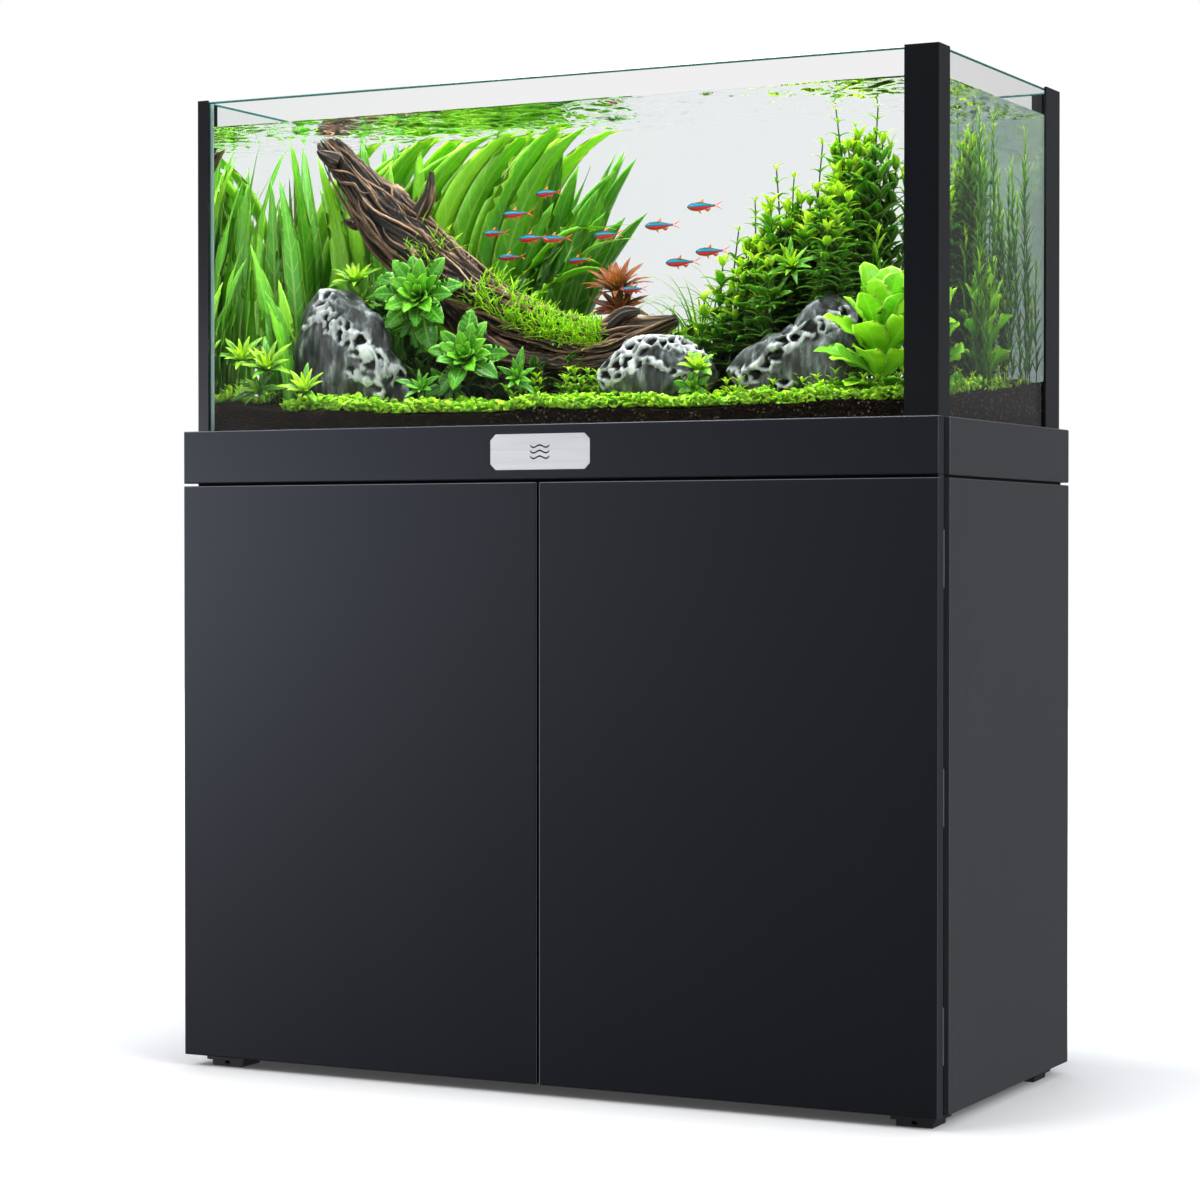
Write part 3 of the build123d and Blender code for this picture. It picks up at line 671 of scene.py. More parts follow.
wood_course = (
    (-0.812, -0.02, 0.975, 15), (-0.765, -0.03, 0.90, 22), (-0.690, -0.04, 0.785, 28),
    (-0.600, -0.05, 0.66, 37), (-0.425, -0.06, 0.475, 35), (-0.215, -0.08, 0.315, 28),
    (-0.020, -0.08, 0.245, 24), (0.115, -0.05, 0.272, 18), (0.215, -0.03, 0.315, 7))


def smooth_course(course, count):
    """A smooth line through given places, with its widths, by Catmull-Rom."""
    knots = np.array([(*tank(x, y, z), width / 1000) for x, y, z, width in course])
    padded = np.vstack((2 * knots[0] - knots[1], knots, 2 * knots[-1] - knots[-2]))
    line = []
    for t in np.linspace(0, len(knots) - 1.0001, count):
        k, u = int(t), t % 1
        a, b, c, d = padded[k:k + 4]
        line.append(0.5 * (2 * b + (c - a) * u + (2 * a - 5 * b + 4 * c - d) * u ** 2
                           + (3 * b - a - 3 * c + d) * u ** 3))
    line = np.array(line)
    return line[:, :3], line[:, 3]


def frames_along(line):
    """Tangent, side and up at each point of a line."""
    tangent = np.gradient(line, axis=0)
    tangent /= np.linalg.norm(tangent, axis=1)[:, None]
    side = np.cross(tangent, (0.0, 1.0, 0.0))
    side /= np.linalg.norm(side, axis=1)[:, None]
    return tangent, side, np.cross(tangent, side)


def around_limb(ringed, scale, along):
    """Noise on a limb's skin: round it at one scale, along it at another."""
    return noise.noise(Vector((ringed.x * scale, ringed.y * scale, along)))


def fibrous_limb(course, rings, points, seed, depth, split=0.0):
    """A limb whose skin is grooved along its length, its first end split into spikes."""
    line, width = smooth_course(course, rings)
    tangent, side, up = frames_along(line)
    angle = np.linspace(0, 2 * math.pi, points, endpoint=False)
    spots, tint = np.zeros((rings, points, 3)), np.zeros((rings, points, 4))
    run = np.concatenate(((0,), np.cumsum(np.linalg.norm(np.diff(line, axis=0), axis=1))))
    for i in range(rings):
        sway = 0.5 * noise.noise(Vector((run[i] * 11, seed, 0)))
        for j, turn in enumerate(angle):
            twist = turn + run[i] * 2.0 + sway
            ringed = Vector((math.cos(twist), math.sin(twist), 0))
            coarse = around_limb(ringed, 1.7, run[i] * 8 + seed)
            fibre = around_limb(ringed, 4.2, run[i] * 9 + seed * 2)
            fine = around_limb(ringed, 11, run[i] * 16 - seed)
            strand = max(0, 1 - abs(fibre) * 5.5) ** 0.8
            wire = max(0, 1 - abs(fine) * 5.0)
            height = 0.75 * coarse + 0.34 * strand + 0.13 * wire - 0.18
            wide = width[i] * (1 + depth * height)
            end = max(0, 1 - run[i] / 0.10) if split else 0
            slip = split * end * (around_limb(ringed, 3.2, seed + 5) + 0.1)
            spots[i, j] = (line[i] + (side[i] * math.cos(turn) + up[i] * math.sin(turn)) * wide
                           + tangent[i] * slip)
            # The third tint channel is the coarse height of the skin; the finish turns it into painted
            # shade low down.
            tint[i, j] = (strand, wire, coarse * 0.5 + 0.5, 0)
    return spots[None], tint[None]


def tube(path, thick, tint):
    """A closed six-sided strip along a path; its tint is even."""
    _, side, up = frames_along(path + np.linspace(0, 1e-6, len(path))[:, None])
    turn = np.linspace(0, 2 * math.pi, 6, endpoint=False)
    ring = side[:, None] * np.cos(turn)[None, :, None] + up[:, None] * np.sin(turn)[None, :, None]
    spots = path[:, None] + ring * np.broadcast_to(thick, len(path))[:, None, None]
    return spots[None], np.broadcast_to(np.array(tint, float), (*spots.shape[:2], 4))[None].copy()


def wood_strands(course, count, seed):
    """Loose fibres that lift off the limb, run along it and rejoin it."""
    grain = np.random.default_rng(seed)
    samples, drift = 22, 0.5
    line, width = smooth_course(course, 200)
    _, side, up = frames_along(line)
    batches = []
    for _ in range(count):
        start = grain.integers(2, 158)
        length = grain.integers(22, 60)
        picks = np.linspace(start, min(start + length, 198), samples).astype(int)
        turn = grain.uniform(0, 2 * math.pi) + np.linspace(0, grain.normal(0, drift), samples)
        turn = turn + 0.12 * np.sin(np.linspace(0, grain.uniform(4, 12), samples))
        lift = 1.0 + 0.13 * np.sin(np.linspace(0, math.pi, samples)) * grain.uniform(0.2, 1.3)
        away = side[picks] * np.cos(turn)[:, None] + up[picks] * np.sin(turn)[:, None]
        path = line[picks] + away * (width[picks] * lift)[:, None]
        thick = 0.0021 * grain.uniform(0.5, 1.3) * np.sin(np.linspace(0.25, math.pi - 0.1, samples))
        # Loose fibres are tinted paler: wear and painted highlight.
        batches.append(tube(path, thick, (grain.uniform(0.45, 1.0), 0.5, grain.uniform(0.3, 0.9), 1)))
    return batches


def keep_inside(spots, margin=0.0035):
    """Bends what would pass the panes or the surface back inside the water."""
    low = np.array(water_low) + margin
    high = np.array((water_high.x, water_high.y, surface_z)) - margin
    return np.clip(spots, low, high)


def strips_piece(name, batches, material, replaces=()):
    """One mesh from batches of closed strips, each (strip, ring, point, xyz) with its tints."""
    points, faces, tints, offset = [], [], [], 0
    for spots, tint in batches:
        count, rings, ring = spots.shape[:3]
        walls = grid_quads(rings, ring, closed=True)
        pairs = np.arange(ring // 2 - 1)
        cap = np.stack((pairs, pairs + 1, ring - 2 - pairs, ring - 1 - pairs), -1)
        one = np.concatenate((walls, cap[:, ::-1], cap + (rings - 1) * ring))
        start = offset + np.arange(count) * rings * ring
        faces.append((one[None] + start[:, None, None]).reshape(-1, 4))
        points.append(keep_inside(spots).reshape(-1, 3))
        tints.append(tint.reshape(-1, 4))
        offset += count * rings * ring
    piece = mesh_piece(name, np.concatenate(points), np.concatenate(faces).tolist(), material,
                       tint=np.concatenate(tints))
    if replaces:
        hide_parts(*replaces)


def wood_finish():
    """Wood near black in the grooves and paler where it stands proud, tan on the worn strands: painted
    shade in the grooves, wear and painted highlight on the strands.
    """
    wood = Finish("driftwood")
    strand, wire, painted_bulge_shade, _ = wood.tint()
    grain = wood.noise(170.0, 5.0, (1, 1, 1), 0.6)
    # Painted shade and highlight: near black where the skin lies low, pale where strands and bulges stand
    # proud.
    colour = wood.ramp(
        strand * 0.52 + wire * 0.16 + painted_bulge_shade * 0.22 + grain * 0.22, (0.22, (0.0040, 0.0022, 0.0012)),
        (0.46, (0.022, 0.011, 0.006)), (0.66, (0.125, 0.064, 0.036)), (0.84, (0.33, 0.180, 0.110)),
        (0.98, (0.58, 0.38, 0.27)))
    return wood.done(wood.shader(
        Base_Color=colour, Roughness=0.5, Specular_IOR_Level=0.25, Normal=wood.bump(grain, 0.0012, 0.6)))


stub = ((-0.56, -0.06, 0.63, 16), (-0.515, -0.10, 0.71, 11), (-0.488, -0.11, 0.775, 8),
        (-0.480, -0.12, 0.85, 3))
thorn = ((-0.670, -0.06, 0.715, 16), (-0.715, -0.10, 0.690, 9), (-0.748, -0.12, 0.700, 2))
tooth = ((-0.765, -0.12, 0.90, 12), (-0.800, -0.16, 0.925, 7), (-0.818, -0.18, 0.945, 2))
under = ((-0.46, -0.12, 0.42, 18), (-0.33, -0.16, 0.27, 17), (-0.18, -0.18, 0.195, 14),
         (-0.02, -0.18, 0.17, 11), (0.10, -0.16, 0.20, 6))
foot = ((-0.30, -0.10, 0.33, 18), (-0.285, -0.10, 0.18, 17), (-0.29, -0.10, 0.03, 14))
spur = ((0.02, -0.10, 0.28, 11), (0.08, -0.12, 0.335, 8), (0.125, -0.13, 0.345, 3))
strips_piece(
    "driftwood_root",
    [fibrous_limb(wood_course, 330, 150, 3.0, 0.52, 0.036), fibrous_limb(stub, 60, 40, 9.0, 0.5),
     fibrous_limb(thorn, 40, 36, 5.0, 0.4), fibrous_limb(tooth, 40, 36, 6.0, 0.4),
     fibrous_limb(under, 120, 70, 4.0, 0.5), fibrous_limb(foot, 50, 60, 7.0, 0.4),
     fibrous_limb(spur, 40, 36, 2.0, 0.5)]
    + wood_strands(wood_course, 110, 4) + wood_strands(under, 16, 5),
    wood_finish(), ["driftwood"])


# Plants ------------------------------------------------------------------------
# Living plants, rooted in the soil or tied to the wood. Every leaf is a thin closed blade with a folded
# midrib; its colour runs from the old leaves low down to the fresh tips, and the darkening low down is
# partly painted shade.

garden = np.random.default_rng(2024)
golden_angle = 2.39996
whole_turn = 6.28


def outline(widest, blunt, stalk=0.0):
    """A leaf's half width along its length: widest at a share of it, blunt or fine, stalked."""
    power = math.log(0.5) / math.log(widest)

    def width(s):
        t = np.clip((s - stalk) / (1 - stalk), 0, 1)
        round_tip = np.sin(math.pi * np.clip(t, 0, 0.999) ** power) ** blunt
        return np.maximum(round_tip, np.where(s < 0.9, 0.09, 0.015))
    return width


def leaves(base, heading, tilt, length, width, shape, rings, points, fold, turn, roll, wave,
           bend, fresh, thick=0.0006):
    """A batch of leaves. Tilts are from upright, at the root and at the tip, in radians."""
    base = np.asarray(base, float).reshape(-1, 3)
    count = len(base)
    heading, length, width, turn, roll, fresh, first, last = (
        np.broadcast_to(np.asarray(v, float), count)[:, None]
        for v in (heading, length, width, turn, roll, fresh, tilt[0], tilt[1]))
    s = np.linspace(0, 1, rings)[None]
    lean = first + (last - first) * s ** bend
    head = heading + turn * s
    tangent = np.stack((np.sin(lean) * np.cos(head), np.sin(lean) * np.sin(head), np.cos(lean)), -1)
    steps = tangent * (length / (rings - 1))[..., None]
    spine = base[:, None] + np.cumsum(steps, 1) - steps[:, :1]
    side = np.stack((-np.sin(head), np.cos(head), np.zeros_like(head)), -1)
    face = np.cross(tangent, side)
    cos, sin = np.cos(roll)[..., None], np.sin(roll)[..., None]
    side, face = side * cos + face * sin, face * cos - side * sin
    quarter = points // 4
    over = np.linspace(1, -1, 2 * quarter + 1)
    across = np.concatenate((over, -over[1:-1]))
    skin = np.concatenate(((0,), np.ones(2 * quarter - 1), (0,), -np.ones(2 * quarter - 1)))
    half = (width / 2 * shape(s))[..., None]
    phase = garden.uniform(0, whole_turn, (count, 1, 1))
    ruffle = wave * half * np.sin(s[..., None] * 19 + phase + across * 1.5) * across ** 2
    lift = fold * half * np.abs(across) ** 1.4 + skin * thick * 0.5 * (1 - 0.8 * across ** 2) + ruffle
    sideways = side[:, :, None] * (half * across)[..., None]
    spots = spine[:, :, None] + sideways + face[:, :, None] * lift[..., None]
    tint = np.empty((count, rings, points, 4))
    tint[..., 0] = s[..., None]
    tint[..., 1] = np.abs(across)
    tint[..., 2] = garden.random((count, 1, 1))
    tint[..., 3] = fresh[..., None]
    return spots, tint


def spread(count, low, high):
    """Even random values between two limits, from the garden's own sequence."""
    return garden.uniform(low, high, count)


def leaf_finish(name, old, grown, fresh, gloss=0.34, glow=0.25, vein=(0.55, 0.75, 0.12)):
    """Leaf tissue: dark when old and towards the base, partly as painted shade, bright at the tips, paler
    along the rib and side veins.
    """
    veins = 11.0
    leaf = Finish(name)
    along, across, own, age_and_shade = leaf.tint()
    mottle = leaf.noise(140.0, 3.0)
    # Partly painted shade: old leaves, leaves low on a stem and the base of each leaf are darker.
    shade = age_and_shade * 0.64 + along * 0.36 + own * 0.16 + mottle * 0.20 - 0.22
    tissue = leaf.ramp(shade, (0.05, old), (0.5, grown), (0.95, fresh))
    rib = 1 - leaf.step(across, 0.02, 0.16)
    stripe = leaf.math("SINE", along * veins * whole_turn - across * 5.5)
    lines = leaf.math("MAXIMUM", rib * 0.7, leaf.step(stripe, 0.80, 1.0) * 0.45)
    rim = leaf.step(across, 0.80, 1.0) * 0.3
    colour = leaf.mix(lines * 0.30 + rim, tissue, vein)
    return leaf.done(leaf.shader(
        Base_Color=colour, Roughness=gloss, Specular_IOR_Level=0.35, Subsurface_Weight=glow,
        Subsurface_Radius=(0.5, 1.0, 0.15), Subsurface_Scale=0.003,
        Normal=leaf.bump(lines + mottle * 0.4, 0.0006, 0.6)))


sword_leaf = leaf_finish("sword_leaf", (0.003, 0.026, 0.001), (0.060, 0.26, 0.004), (0.30, 0.66, 0.012))
stem_leaf = leaf_finish("stem_leaf", (0.002, 0.016, 0.001), (0.045, 0.23, 0.003), (0.58, 0.86, 0.010), 0.30)
gloss_leaf = leaf_finish("gloss_leaf", (0.003, 0.030, 0.002), (0.026, 0.18, 0.005), (0.17, 0.54, 0.018),
                         0.20, 0.12)
lawn_leaf = leaf_finish("lawn_leaf", (0.05, 0.18, 0.002), (0.26, 0.62, 0.002), (0.58, 0.92, 0.006), 0.42,
                        0.30)
# Leaves painted almost black as shade, for the thicket in the shadow low behind the wood.
painted_shade_leaf = leaf_finish("painted_shade_leaf", (0.001, 0.010, 0.001), (0.006, 0.045, 0.001), (0.03, 0.14, 0.003),
                         0.5, 0.1)
red_leaf = leaf_finish("red_leaf", (0.020, 0.010, 0.003), (0.16, 0.030, 0.008), (0.46, 0.10, 0.02), 0.34,
                       0.2, (0.5, 0.2, 0.05))
lance = outline(0.38, 0.8)


def blades(rows, heading, tilt, length, width, shape=lance, fresh=(0.2, 0.9), bend=1.7, wave=0.2, rings=18,
           jitter=0.1, roll=(-0.9, 0.1)):
    """Long leaves rooted in the soil at given shares of the tank, one for each row."""
    spots = np.array([tank(x, y) for x, y in rows])
    spots[:, 2] = soil_level(spots[:, 0], spots[:, 1]) - 0.003
    count = len(spots)
    headings = garden.normal(heading, jitter * 2, count)
    tilts = (spread(count, *tilt[0]), spread(count, *tilt[1]))
    return leaves(
        spots, headings, tilts, spread(count, *length), spread(count, *width), shape, rings, 8, 0.16,
        spread(count, -0.35, 0.35), spread(count, *roll), wave, bend, spread(count, *fresh))


def scatter(count, x, y):
    """Random places between limits, as shares of the tank."""
    return [(garden.uniform(*x), garden.uniform(*y)) for _ in range(count)]


def patch(count, x, y, low, high, under=None):
    """Random places, each with a random height: a share of the water, or of a crest."""
    return [(a, b, (under(a) if under else 1) * garden.uniform(low, high)) for a, b in scatter(count, x, y)]


# Strap-leaved crowns at the left: tall blades that fan out and bend towards the end pane.
strips_piece("strap_plants_left_leaves", [
    blades(scatter(6, (-0.97, -0.86), (-0.35, 0.10)), 2.6, ((0.0, 0.06), (0.10, 0.45)), (0.22, 0.31),
           (0.027, 0.033)),
    blades(scatter(7, (-0.96, -0.82), (-0.55, -0.25)), 2.9, ((0.0, 0.10), (0.30, 0.75)), (0.12, 0.22),
           (0.022, 0.028)),
    blades(scatter(10, (-0.90, -0.70), (-0.05, 0.45)), 2.8, ((0.0, 0.08), (0.15, 0.50)), (0.28, 0.365),
           (0.028, 0.036)),
    blades(scatter(12, (-0.80, -0.55), (0.10, 0.60)), 2.0, ((0.0, 0.10), (0.1, 0.6)), (0.28, 0.365),
           (0.028, 0.038), roll=(-0.4, 0.4)),
    blades(scatter(9, (-0.86, -0.60), (-0.25, 0.20)), 0.4, ((0.0, 0.12), (0.5, 1.7)), (0.14, 0.24),
           (0.024, 0.032)),
    blades(scatter(10, (-0.97, -0.80), (0.30, 0.90)), 3.1, ((0.0, 0.10), (0.2, 0.5)), (0.18, 0.30),
           (0.024, 0.030), fresh=(0.0, 0.5))], sword_leaf, ["strap_plants_left"])

# Sword plants behind the wood, combed to the right by the current, tips at the surface.
comb = []
for y, shift, count, length in ((0.40, 0.0, 13, 0.392), (0.62, 0.03, 11, 0.400)):
    rows = [(x + shift, y + garden.uniform(-0.04, 0.04)) for x in np.linspace(-0.97, -0.39, count)]
    comb.append(blades(rows, 0.0, ((0.03, 0.08), (1.15, 1.40)), (length, length + 0.02), (0.034, 0.040),
                       outline(0.50, 1.0), (0.55, 1.0), 2.3, 0.10, 22, 0.05, (-0.95, -0.55)))
comb.append(blades(scatter(34, (-0.66, -0.20), (0.42, 0.85)), 0.2, ((0.02, 0.18), (0.45, 0.95)),
                   (0.20, 0.33), (0.030, 0.038), outline(0.5, 0.8), (0.0, 0.45), 1.6, 0.15, 14, 0.2,
                   (-1.2, -0.3)))
fallen = [(-0.40, 0.36), (-0.38, 0.46), (-0.36, 0.40), (-0.33, 0.44), (-0.31, 0.38), (-0.30, 0.50)]
comb.append(blades(fallen, 0.05, ((0.03, 0.14), (1.5, 2.0)), (0.22, 0.325), (0.028, 0.034),
                   outline(0.5, 0.8), (0.3, 0.8), 1.9))
strips_piece("strap_plants_centre_leaves", comb, sword_leaf, ["strap_plants_centre"])


def whorl(x, y, z, count, length, width, face, tilt, fresh=(0.3, 1.0), shape=lance, rings=9):
    """A whorl of leaves that looks along a direction, for plants tied to wood and rock."""
    middle = tank(x, y, z)
    toward = Vector(face).normalized()
    ranks = np.arange(count)
    around = ranks * golden_angle + spread(count, -0.2, 0.2)
    open_out = np.interp(ranks / count, (0, 1), tilt) + spread(count, -0.1, 0.1)
    size = np.interp(ranks / count, (0, 1), (0.45, 1.0)) * spread(count, 0.85, 1.1)
    spots, tint = leaves(
        np.zeros((count, 3)), around, (open_out * 0.55, open_out * 1.25), length * size, width * size,
        shape, rings, 8, 0.30, 0.0, spread(count, -0.2, 0.2), 0.12, 1.0,
        np.interp(ranks / count, (0, 1), fresh[::-1]))
    turn = np.array(toward.to_track_quat("Z", "X").to_matrix())
    return spots @ turn.T + middle, tint


broad_lance = outline(0.52, 0.72, 0.08)
rosettes = (
    (-0.47, -0.36, 0.405, 26, 0.078, 0.030, (0.1, -1.0, 0.35), (0.25, 1.6), (0.25, 0.95), broad_lance, 12),
    (-0.31, -0.52, 0.185, 24, 0.068, 0.027, (0.15, -1.0, 0.50), (0.2, 1.55), (0.25, 1.0), broad_lance, 12),
    (-0.50, -0.34, 0.33, 9, 0.056, 0.020, (-0.2, -1.0, -0.4), (0.9, 1.5), (0.0, 0.4), broad_lance, 12),
    (-0.36, -0.48, 0.11, 8, 0.050, 0.019, (-0.2, -1.0, -0.1), (0.9, 1.5), (0.0, 0.4), broad_lance, 12),
    (-0.60, -0.22, 0.37, 12, 0.046, 0.016, (-0.2, -1.0, 0.2), (0.5, 1.4), (0.0, 0.5), broad_lance),
    (-0.17, -0.50, 0.12, 14, 0.042, 0.012, (0.4, -1.0, 0.5), (0.4, 1.4), (0.2, 1.0)),
    (-0.42, -0.66, 0.09, 13, 0.040, 0.011, (0.0, -1.0, 0.6), (0.4, 1.4), (0.3, 1.0)))
strips_piece("rosette_plants_leaves", [whorl(*row) for row in rosettes], gloss_leaf, ["rosette_plants"])


def stems(spots, leaf, node_gap, per_node, fresh, lean, tilt=(0.85, 0.95)):
    """Upright stems with leaves in pairs or whorls, each given by shares of place and height."""
    batches = []
    for x, y, top in spots:
        start = tank(x, y)
        start[2] = max(start[2], soil_level(start[0], start[1])) - 0.004
        end = tank(x, y, top) + np.array((garden.normal(0, lean), garden.normal(0, lean * 0.6), 0))
        tall = max(0.01, end[2] - start[2])
        count = max(3, int(tall / node_gap))
        share = np.linspace(0, 1, count + 1)
        path = start + (end - start) * share[:, None]
        path[:, 0] += np.sin(share * 3 + x * 30) * 0.010 * share
        batches.append(tube(path, np.linspace(0.0015, 0.0009, len(path)),
                            (0.3, 0.2, garden.random(), 0.15)))
        level = np.repeat(share[1:], per_node)
        base = np.repeat(path[1:], per_node, 0)
        number = len(level)
        around = np.tile(np.arange(per_node) * 2 * math.pi / per_node, count)
        around = around + np.repeat(np.arange(count) * 1.4 + garden.uniform(0, 3), per_node)
        below_tip = np.clip((1 - level) * tall / 0.05, 0, 1)
        size = (0.62 + 0.38 * below_tip) * spread(number, 0.8, 1.12)
        first = tilt[0] * (0.42 + 0.58 * below_tip) + spread(number, -0.15, 0.15)
        # Leaves further below the tip are darker: partly age, partly painted shade.
        youth_and_depth_shade = fresh[0] + (fresh[1] - fresh[0]) * np.exp(-(1 - level) * tall / 0.045)
        batches.append(leaves(
            base, around + spread(number, -0.3, 0.3), (first, first + tilt[1]),
            leaf[0] * size, leaf[1] * size, lance, 7, 4, 0.25, spread(number, -0.3, 0.3),
            0.0, 0.0, 1.4, youth_and_depth_shade + spread(number, -0.1, 0.2)))
    return batches


def crest(x):
    """The height of the right-hand bushes along the tank, as a share."""
    return np.interp(x, (0.18, 0.24, 0.28, 0.35, 0.42, 0.50, 0.57, 0.65, 0.95),
                     (0.20, 0.28, 0.40, 0.53, 0.64, 0.68, 0.76, 0.90, 0.93))


# Stem plants on the right: broad-leaved bushes that climb from the middle to the corner.
bank = patch(52, (0.27, 0.66), (0.02, 0.50), 0.75, 1.0, crest)
strips_piece("stem_plants_right_leaves", stems(bank, (0.038, 0.0155), 0.021, 4, (-0.05, 1.05), 0.010),
             stem_leaf, ["stem_plants_right"])
rear_bank = patch(34, (0.50, 0.74), (0.20, 0.60), 0.80, 0.98, crest)
strips_piece(
    "rear_bushes_leaves",
    stems(rear_bank, (0.038, 0.0145), 0.021, 4, (-0.05, 0.80), 0.012, (0.6, 0.7)), stem_leaf)
tall_ones = [
    (0.35, 0.10, 0.60), (0.39, 0.20, 0.70), (0.45, 0.24, 0.80), (0.51, 0.24, 0.77), (0.555, 0.28, 0.875),
    (0.64, 0.28, 0.985), (0.655, 0.34, 0.93), (0.73, 0.26, 0.985), (0.60, 0.45, 0.85), (0.42, 0.3, 0.64),
    (0.48, 0.38, 0.70), (0.68, 0.42, 0.90), (0.77, 0.45, 0.93), (0.31, 0.14, 0.50)]
strips_piece(
    "tall_stems_leaves",
    stems(tall_ones, (0.021, 0.0066), 0.0155, 3, (0.12, 1.15), 0.006, (0.95, 1.1)), stem_leaf)
front_bank = patch(60, (0.20, 0.70), (-0.25, 0.10), 0.50, 0.78, crest)
strips_piece(
    "front_bushes_leaves", stems(front_bank, (0.033, 0.0130), 0.017, 4, (-0.12, 1.0), 0.010), stem_leaf)

# Narrow-leaved stems in the back right corner, seen through the end pane.
corner = patch(15, (0.66, 0.94), (-0.10, 0.80), 0.62, 0.99)
corner += patch(12, (0.74, 0.97), (0.0, 0.90), 0.30, 0.6)
strips_piece("corner_stems_leaves", stems(corner, (0.034, 0.0070), 0.015, 3, (0.1, 0.9), 0.02, (0.5, 0.6)),
             stem_leaf)

# Star-shaped heads at mid height, and low bright bushes at the stones' feet.
left_low = patch(26, (-0.98, -0.82), (-0.70, -0.20), 0.06, 0.13)
between = patch(22, (-0.16, 0.10), (-0.55, -0.20), 0.06, 0.15)
right_foot = patch(22, (0.36, 0.97), (-0.80, -0.45), 0.05, 0.11)
side_low = patch(26, (0.80, 0.98), (-0.45, 0.85), 0.05, 0.14)
heads = (
    (0.538, -0.12, 0.46, 26, 0.046, 0.009, (0.2, -0.8, 0.7), (0.2, 1.4)),
    (0.50, -0.20, 0.36, 20, 0.040, 0.010, (0.0, -0.9, 0.5), (0.3, 1.4), (0.0, 0.7)),
    (-0.872, -0.74, 0.165, 22, 0.053, 0.0125, (0.1, -0.7, 0.8), (0.15, 1.4), (0.4, 1.1)),
    (-0.90, -0.70, 0.10, 16, 0.048, 0.0120, (-0.1, -0.9, 0.4), (0.5, 1.5), (0.1, 0.8)),
    (-0.735, -0.86, 0.085, 22, 0.046, 0.0110, (0.1, -0.7, 0.7), (0.15, 1.4), (0.5, 1.2)),
    (-0.95, -0.76, 0.20, 20, 0.046, 0.0110, (0.3, -0.7, 0.8), (0.15, 1.4), (0.4, 1.1)),
    (-0.68, -0.28, 0.465, 28, 0.048, 0.0105, (0.1, -0.5, 0.9), (0.1, 1.45), (0.4, 1.1)),
    (-0.66, -0.28, 0.40, 20, 0.044, 0.0105, (0.1, -0.9, 0.1), (0.7, 1.5), (0.1, 0.8)),
    (0.367, -0.72, 0.125, 22, 0.032, 0.011, (0.1, -0.6, 0.8), (0.1, 1.45), (0.4, 1.1), broad_lance),
    (0.36, -0.74, 0.07, 14, 0.030, 0.010, (0.0, -1.0, 0.1), (0.7, 1.5), (0.1, 0.7), broad_lance))
low_ones = stems(left_low + between, (0.022, 0.0066), 0.009, 4, (0.15, 0.9), 0.008)
low_ones += stems(right_foot + side_low, (0.020, 0.0070), 0.009, 4, (0.2, 1.0), 0.008)
strips_piece("low_bushes_leaves", low_ones + [whorl(*row) for row in heads], stem_leaf)


def crown(x, y, high):
    """A rosette of broad spoon-shaped leaves, flat below and upright at its heart."""
    parts = []
    for level, count, size, tilt in ((0.1, 7, 0.85, 1.35), (0.35, 7, 1.0, 1.15), (0.6, 6, 1.05, 0.90),
                                     (0.8, 6, 1.1, 0.60), (0.95, 4, 1.1, 0.28)):
        around = np.arange(count) * 2 * math.pi / count + level * 8
        parts.append(leaves(
            np.repeat(tank(x, y, level * high)[None], count, 0), around + spread(count, -0.25, 0.25),
            (tilt * 0.55, tilt * 1.35), spread(count, 0.070, 0.092) * size,
            spread(count, 0.036, 0.044) * size, outline(0.62, 0.55, 0.12), 16, 12, 0.26, 0.0,
            spread(count, -0.5, 0.5), 0.14, 1.0, spread(count, 0.35, 1.0)))
    stalk = np.linspace(tank(x, y) - (0, 0, 0.004), tank(x, y, high), 8)
    return parts + [tube(stalk, 0.0035, (0.2, 0.3, 0.5, 0.4))]


broad_leaf = leaf_finish("broad_leaf", (0.02, 0.12, 0.002), (0.13, 0.42, 0.006), (0.38, 0.76, 0.02),
                         0.26, 0.25)

# The broad-leaved plant in the right front corner, and another behind it.
strips_piece("broadleaf_plant_leaves", crown(0.835, -0.64, 0.20), broad_leaf, ["broadleaf_plant_right"])
strips_piece("rear_crown_leaves", crown(0.83, 0.20, 0.26), broad_leaf)

# The red-brown plant behind the wood's low end, and hair-fine fountains beside it.
red = stems([(-0.005, 0.36, 0.42), (0.02, 0.33, 0.36), (-0.03, 0.38, 0.36)],
            (0.036, 0.0085), 0.009, 4, (0.0, 0.8), 0.008, (0.95, 0.35))
red += [whorl(-0.005, 0.35, 0.42, 46, 0.060, 0.0100, (0.0, -0.5, 0.85), (0.05, 1.50), (0.3, 1.0)),
        whorl(0.01, 0.32, 0.36, 34, 0.050, 0.0100, (0.0, -0.9, 0.4), (0.5, 1.55), (0.1, 0.7))]
strips_piece("red_stem_plant_leaves", red, red_leaf, ["red_stem_plant"])


def fountain(x, y, size):
    """A tuft of hair-fine leaves that rise and fall over."""
    count = 46
    spots = np.array([tank(x + garden.uniform(-0.01, 0.01), y + garden.uniform(-0.03, 0.03))
                      for _ in range(count)])
    spots[:, 2] = soil_level(spots[:, 0], spots[:, 1]) - 0.002
    first = spread(count, 0.0, 0.35)
    return leaves(
        spots, spread(count, 0, whole_turn), (first, first + spread(count, 0.8, 2.2)),
        spread(count, 0.09, 0.17) * size, spread(count, 0.0026, 0.0040), lance, 12, 4, 0.1,
        0.0, 0.0, 0.0, 2.0, spread(count, 0.3, 0.9))


tufts = ((0.14, 0.40, 0.95), (0.23, 0.30, 1.1), (0.30, 0.42, 1.15), (0.19, 0.12, 0.8), (0.10, 0.55, 0.85))
strips_piece("fountain_plants_leaves", [fountain(*row) for row in tufts], stem_leaf)

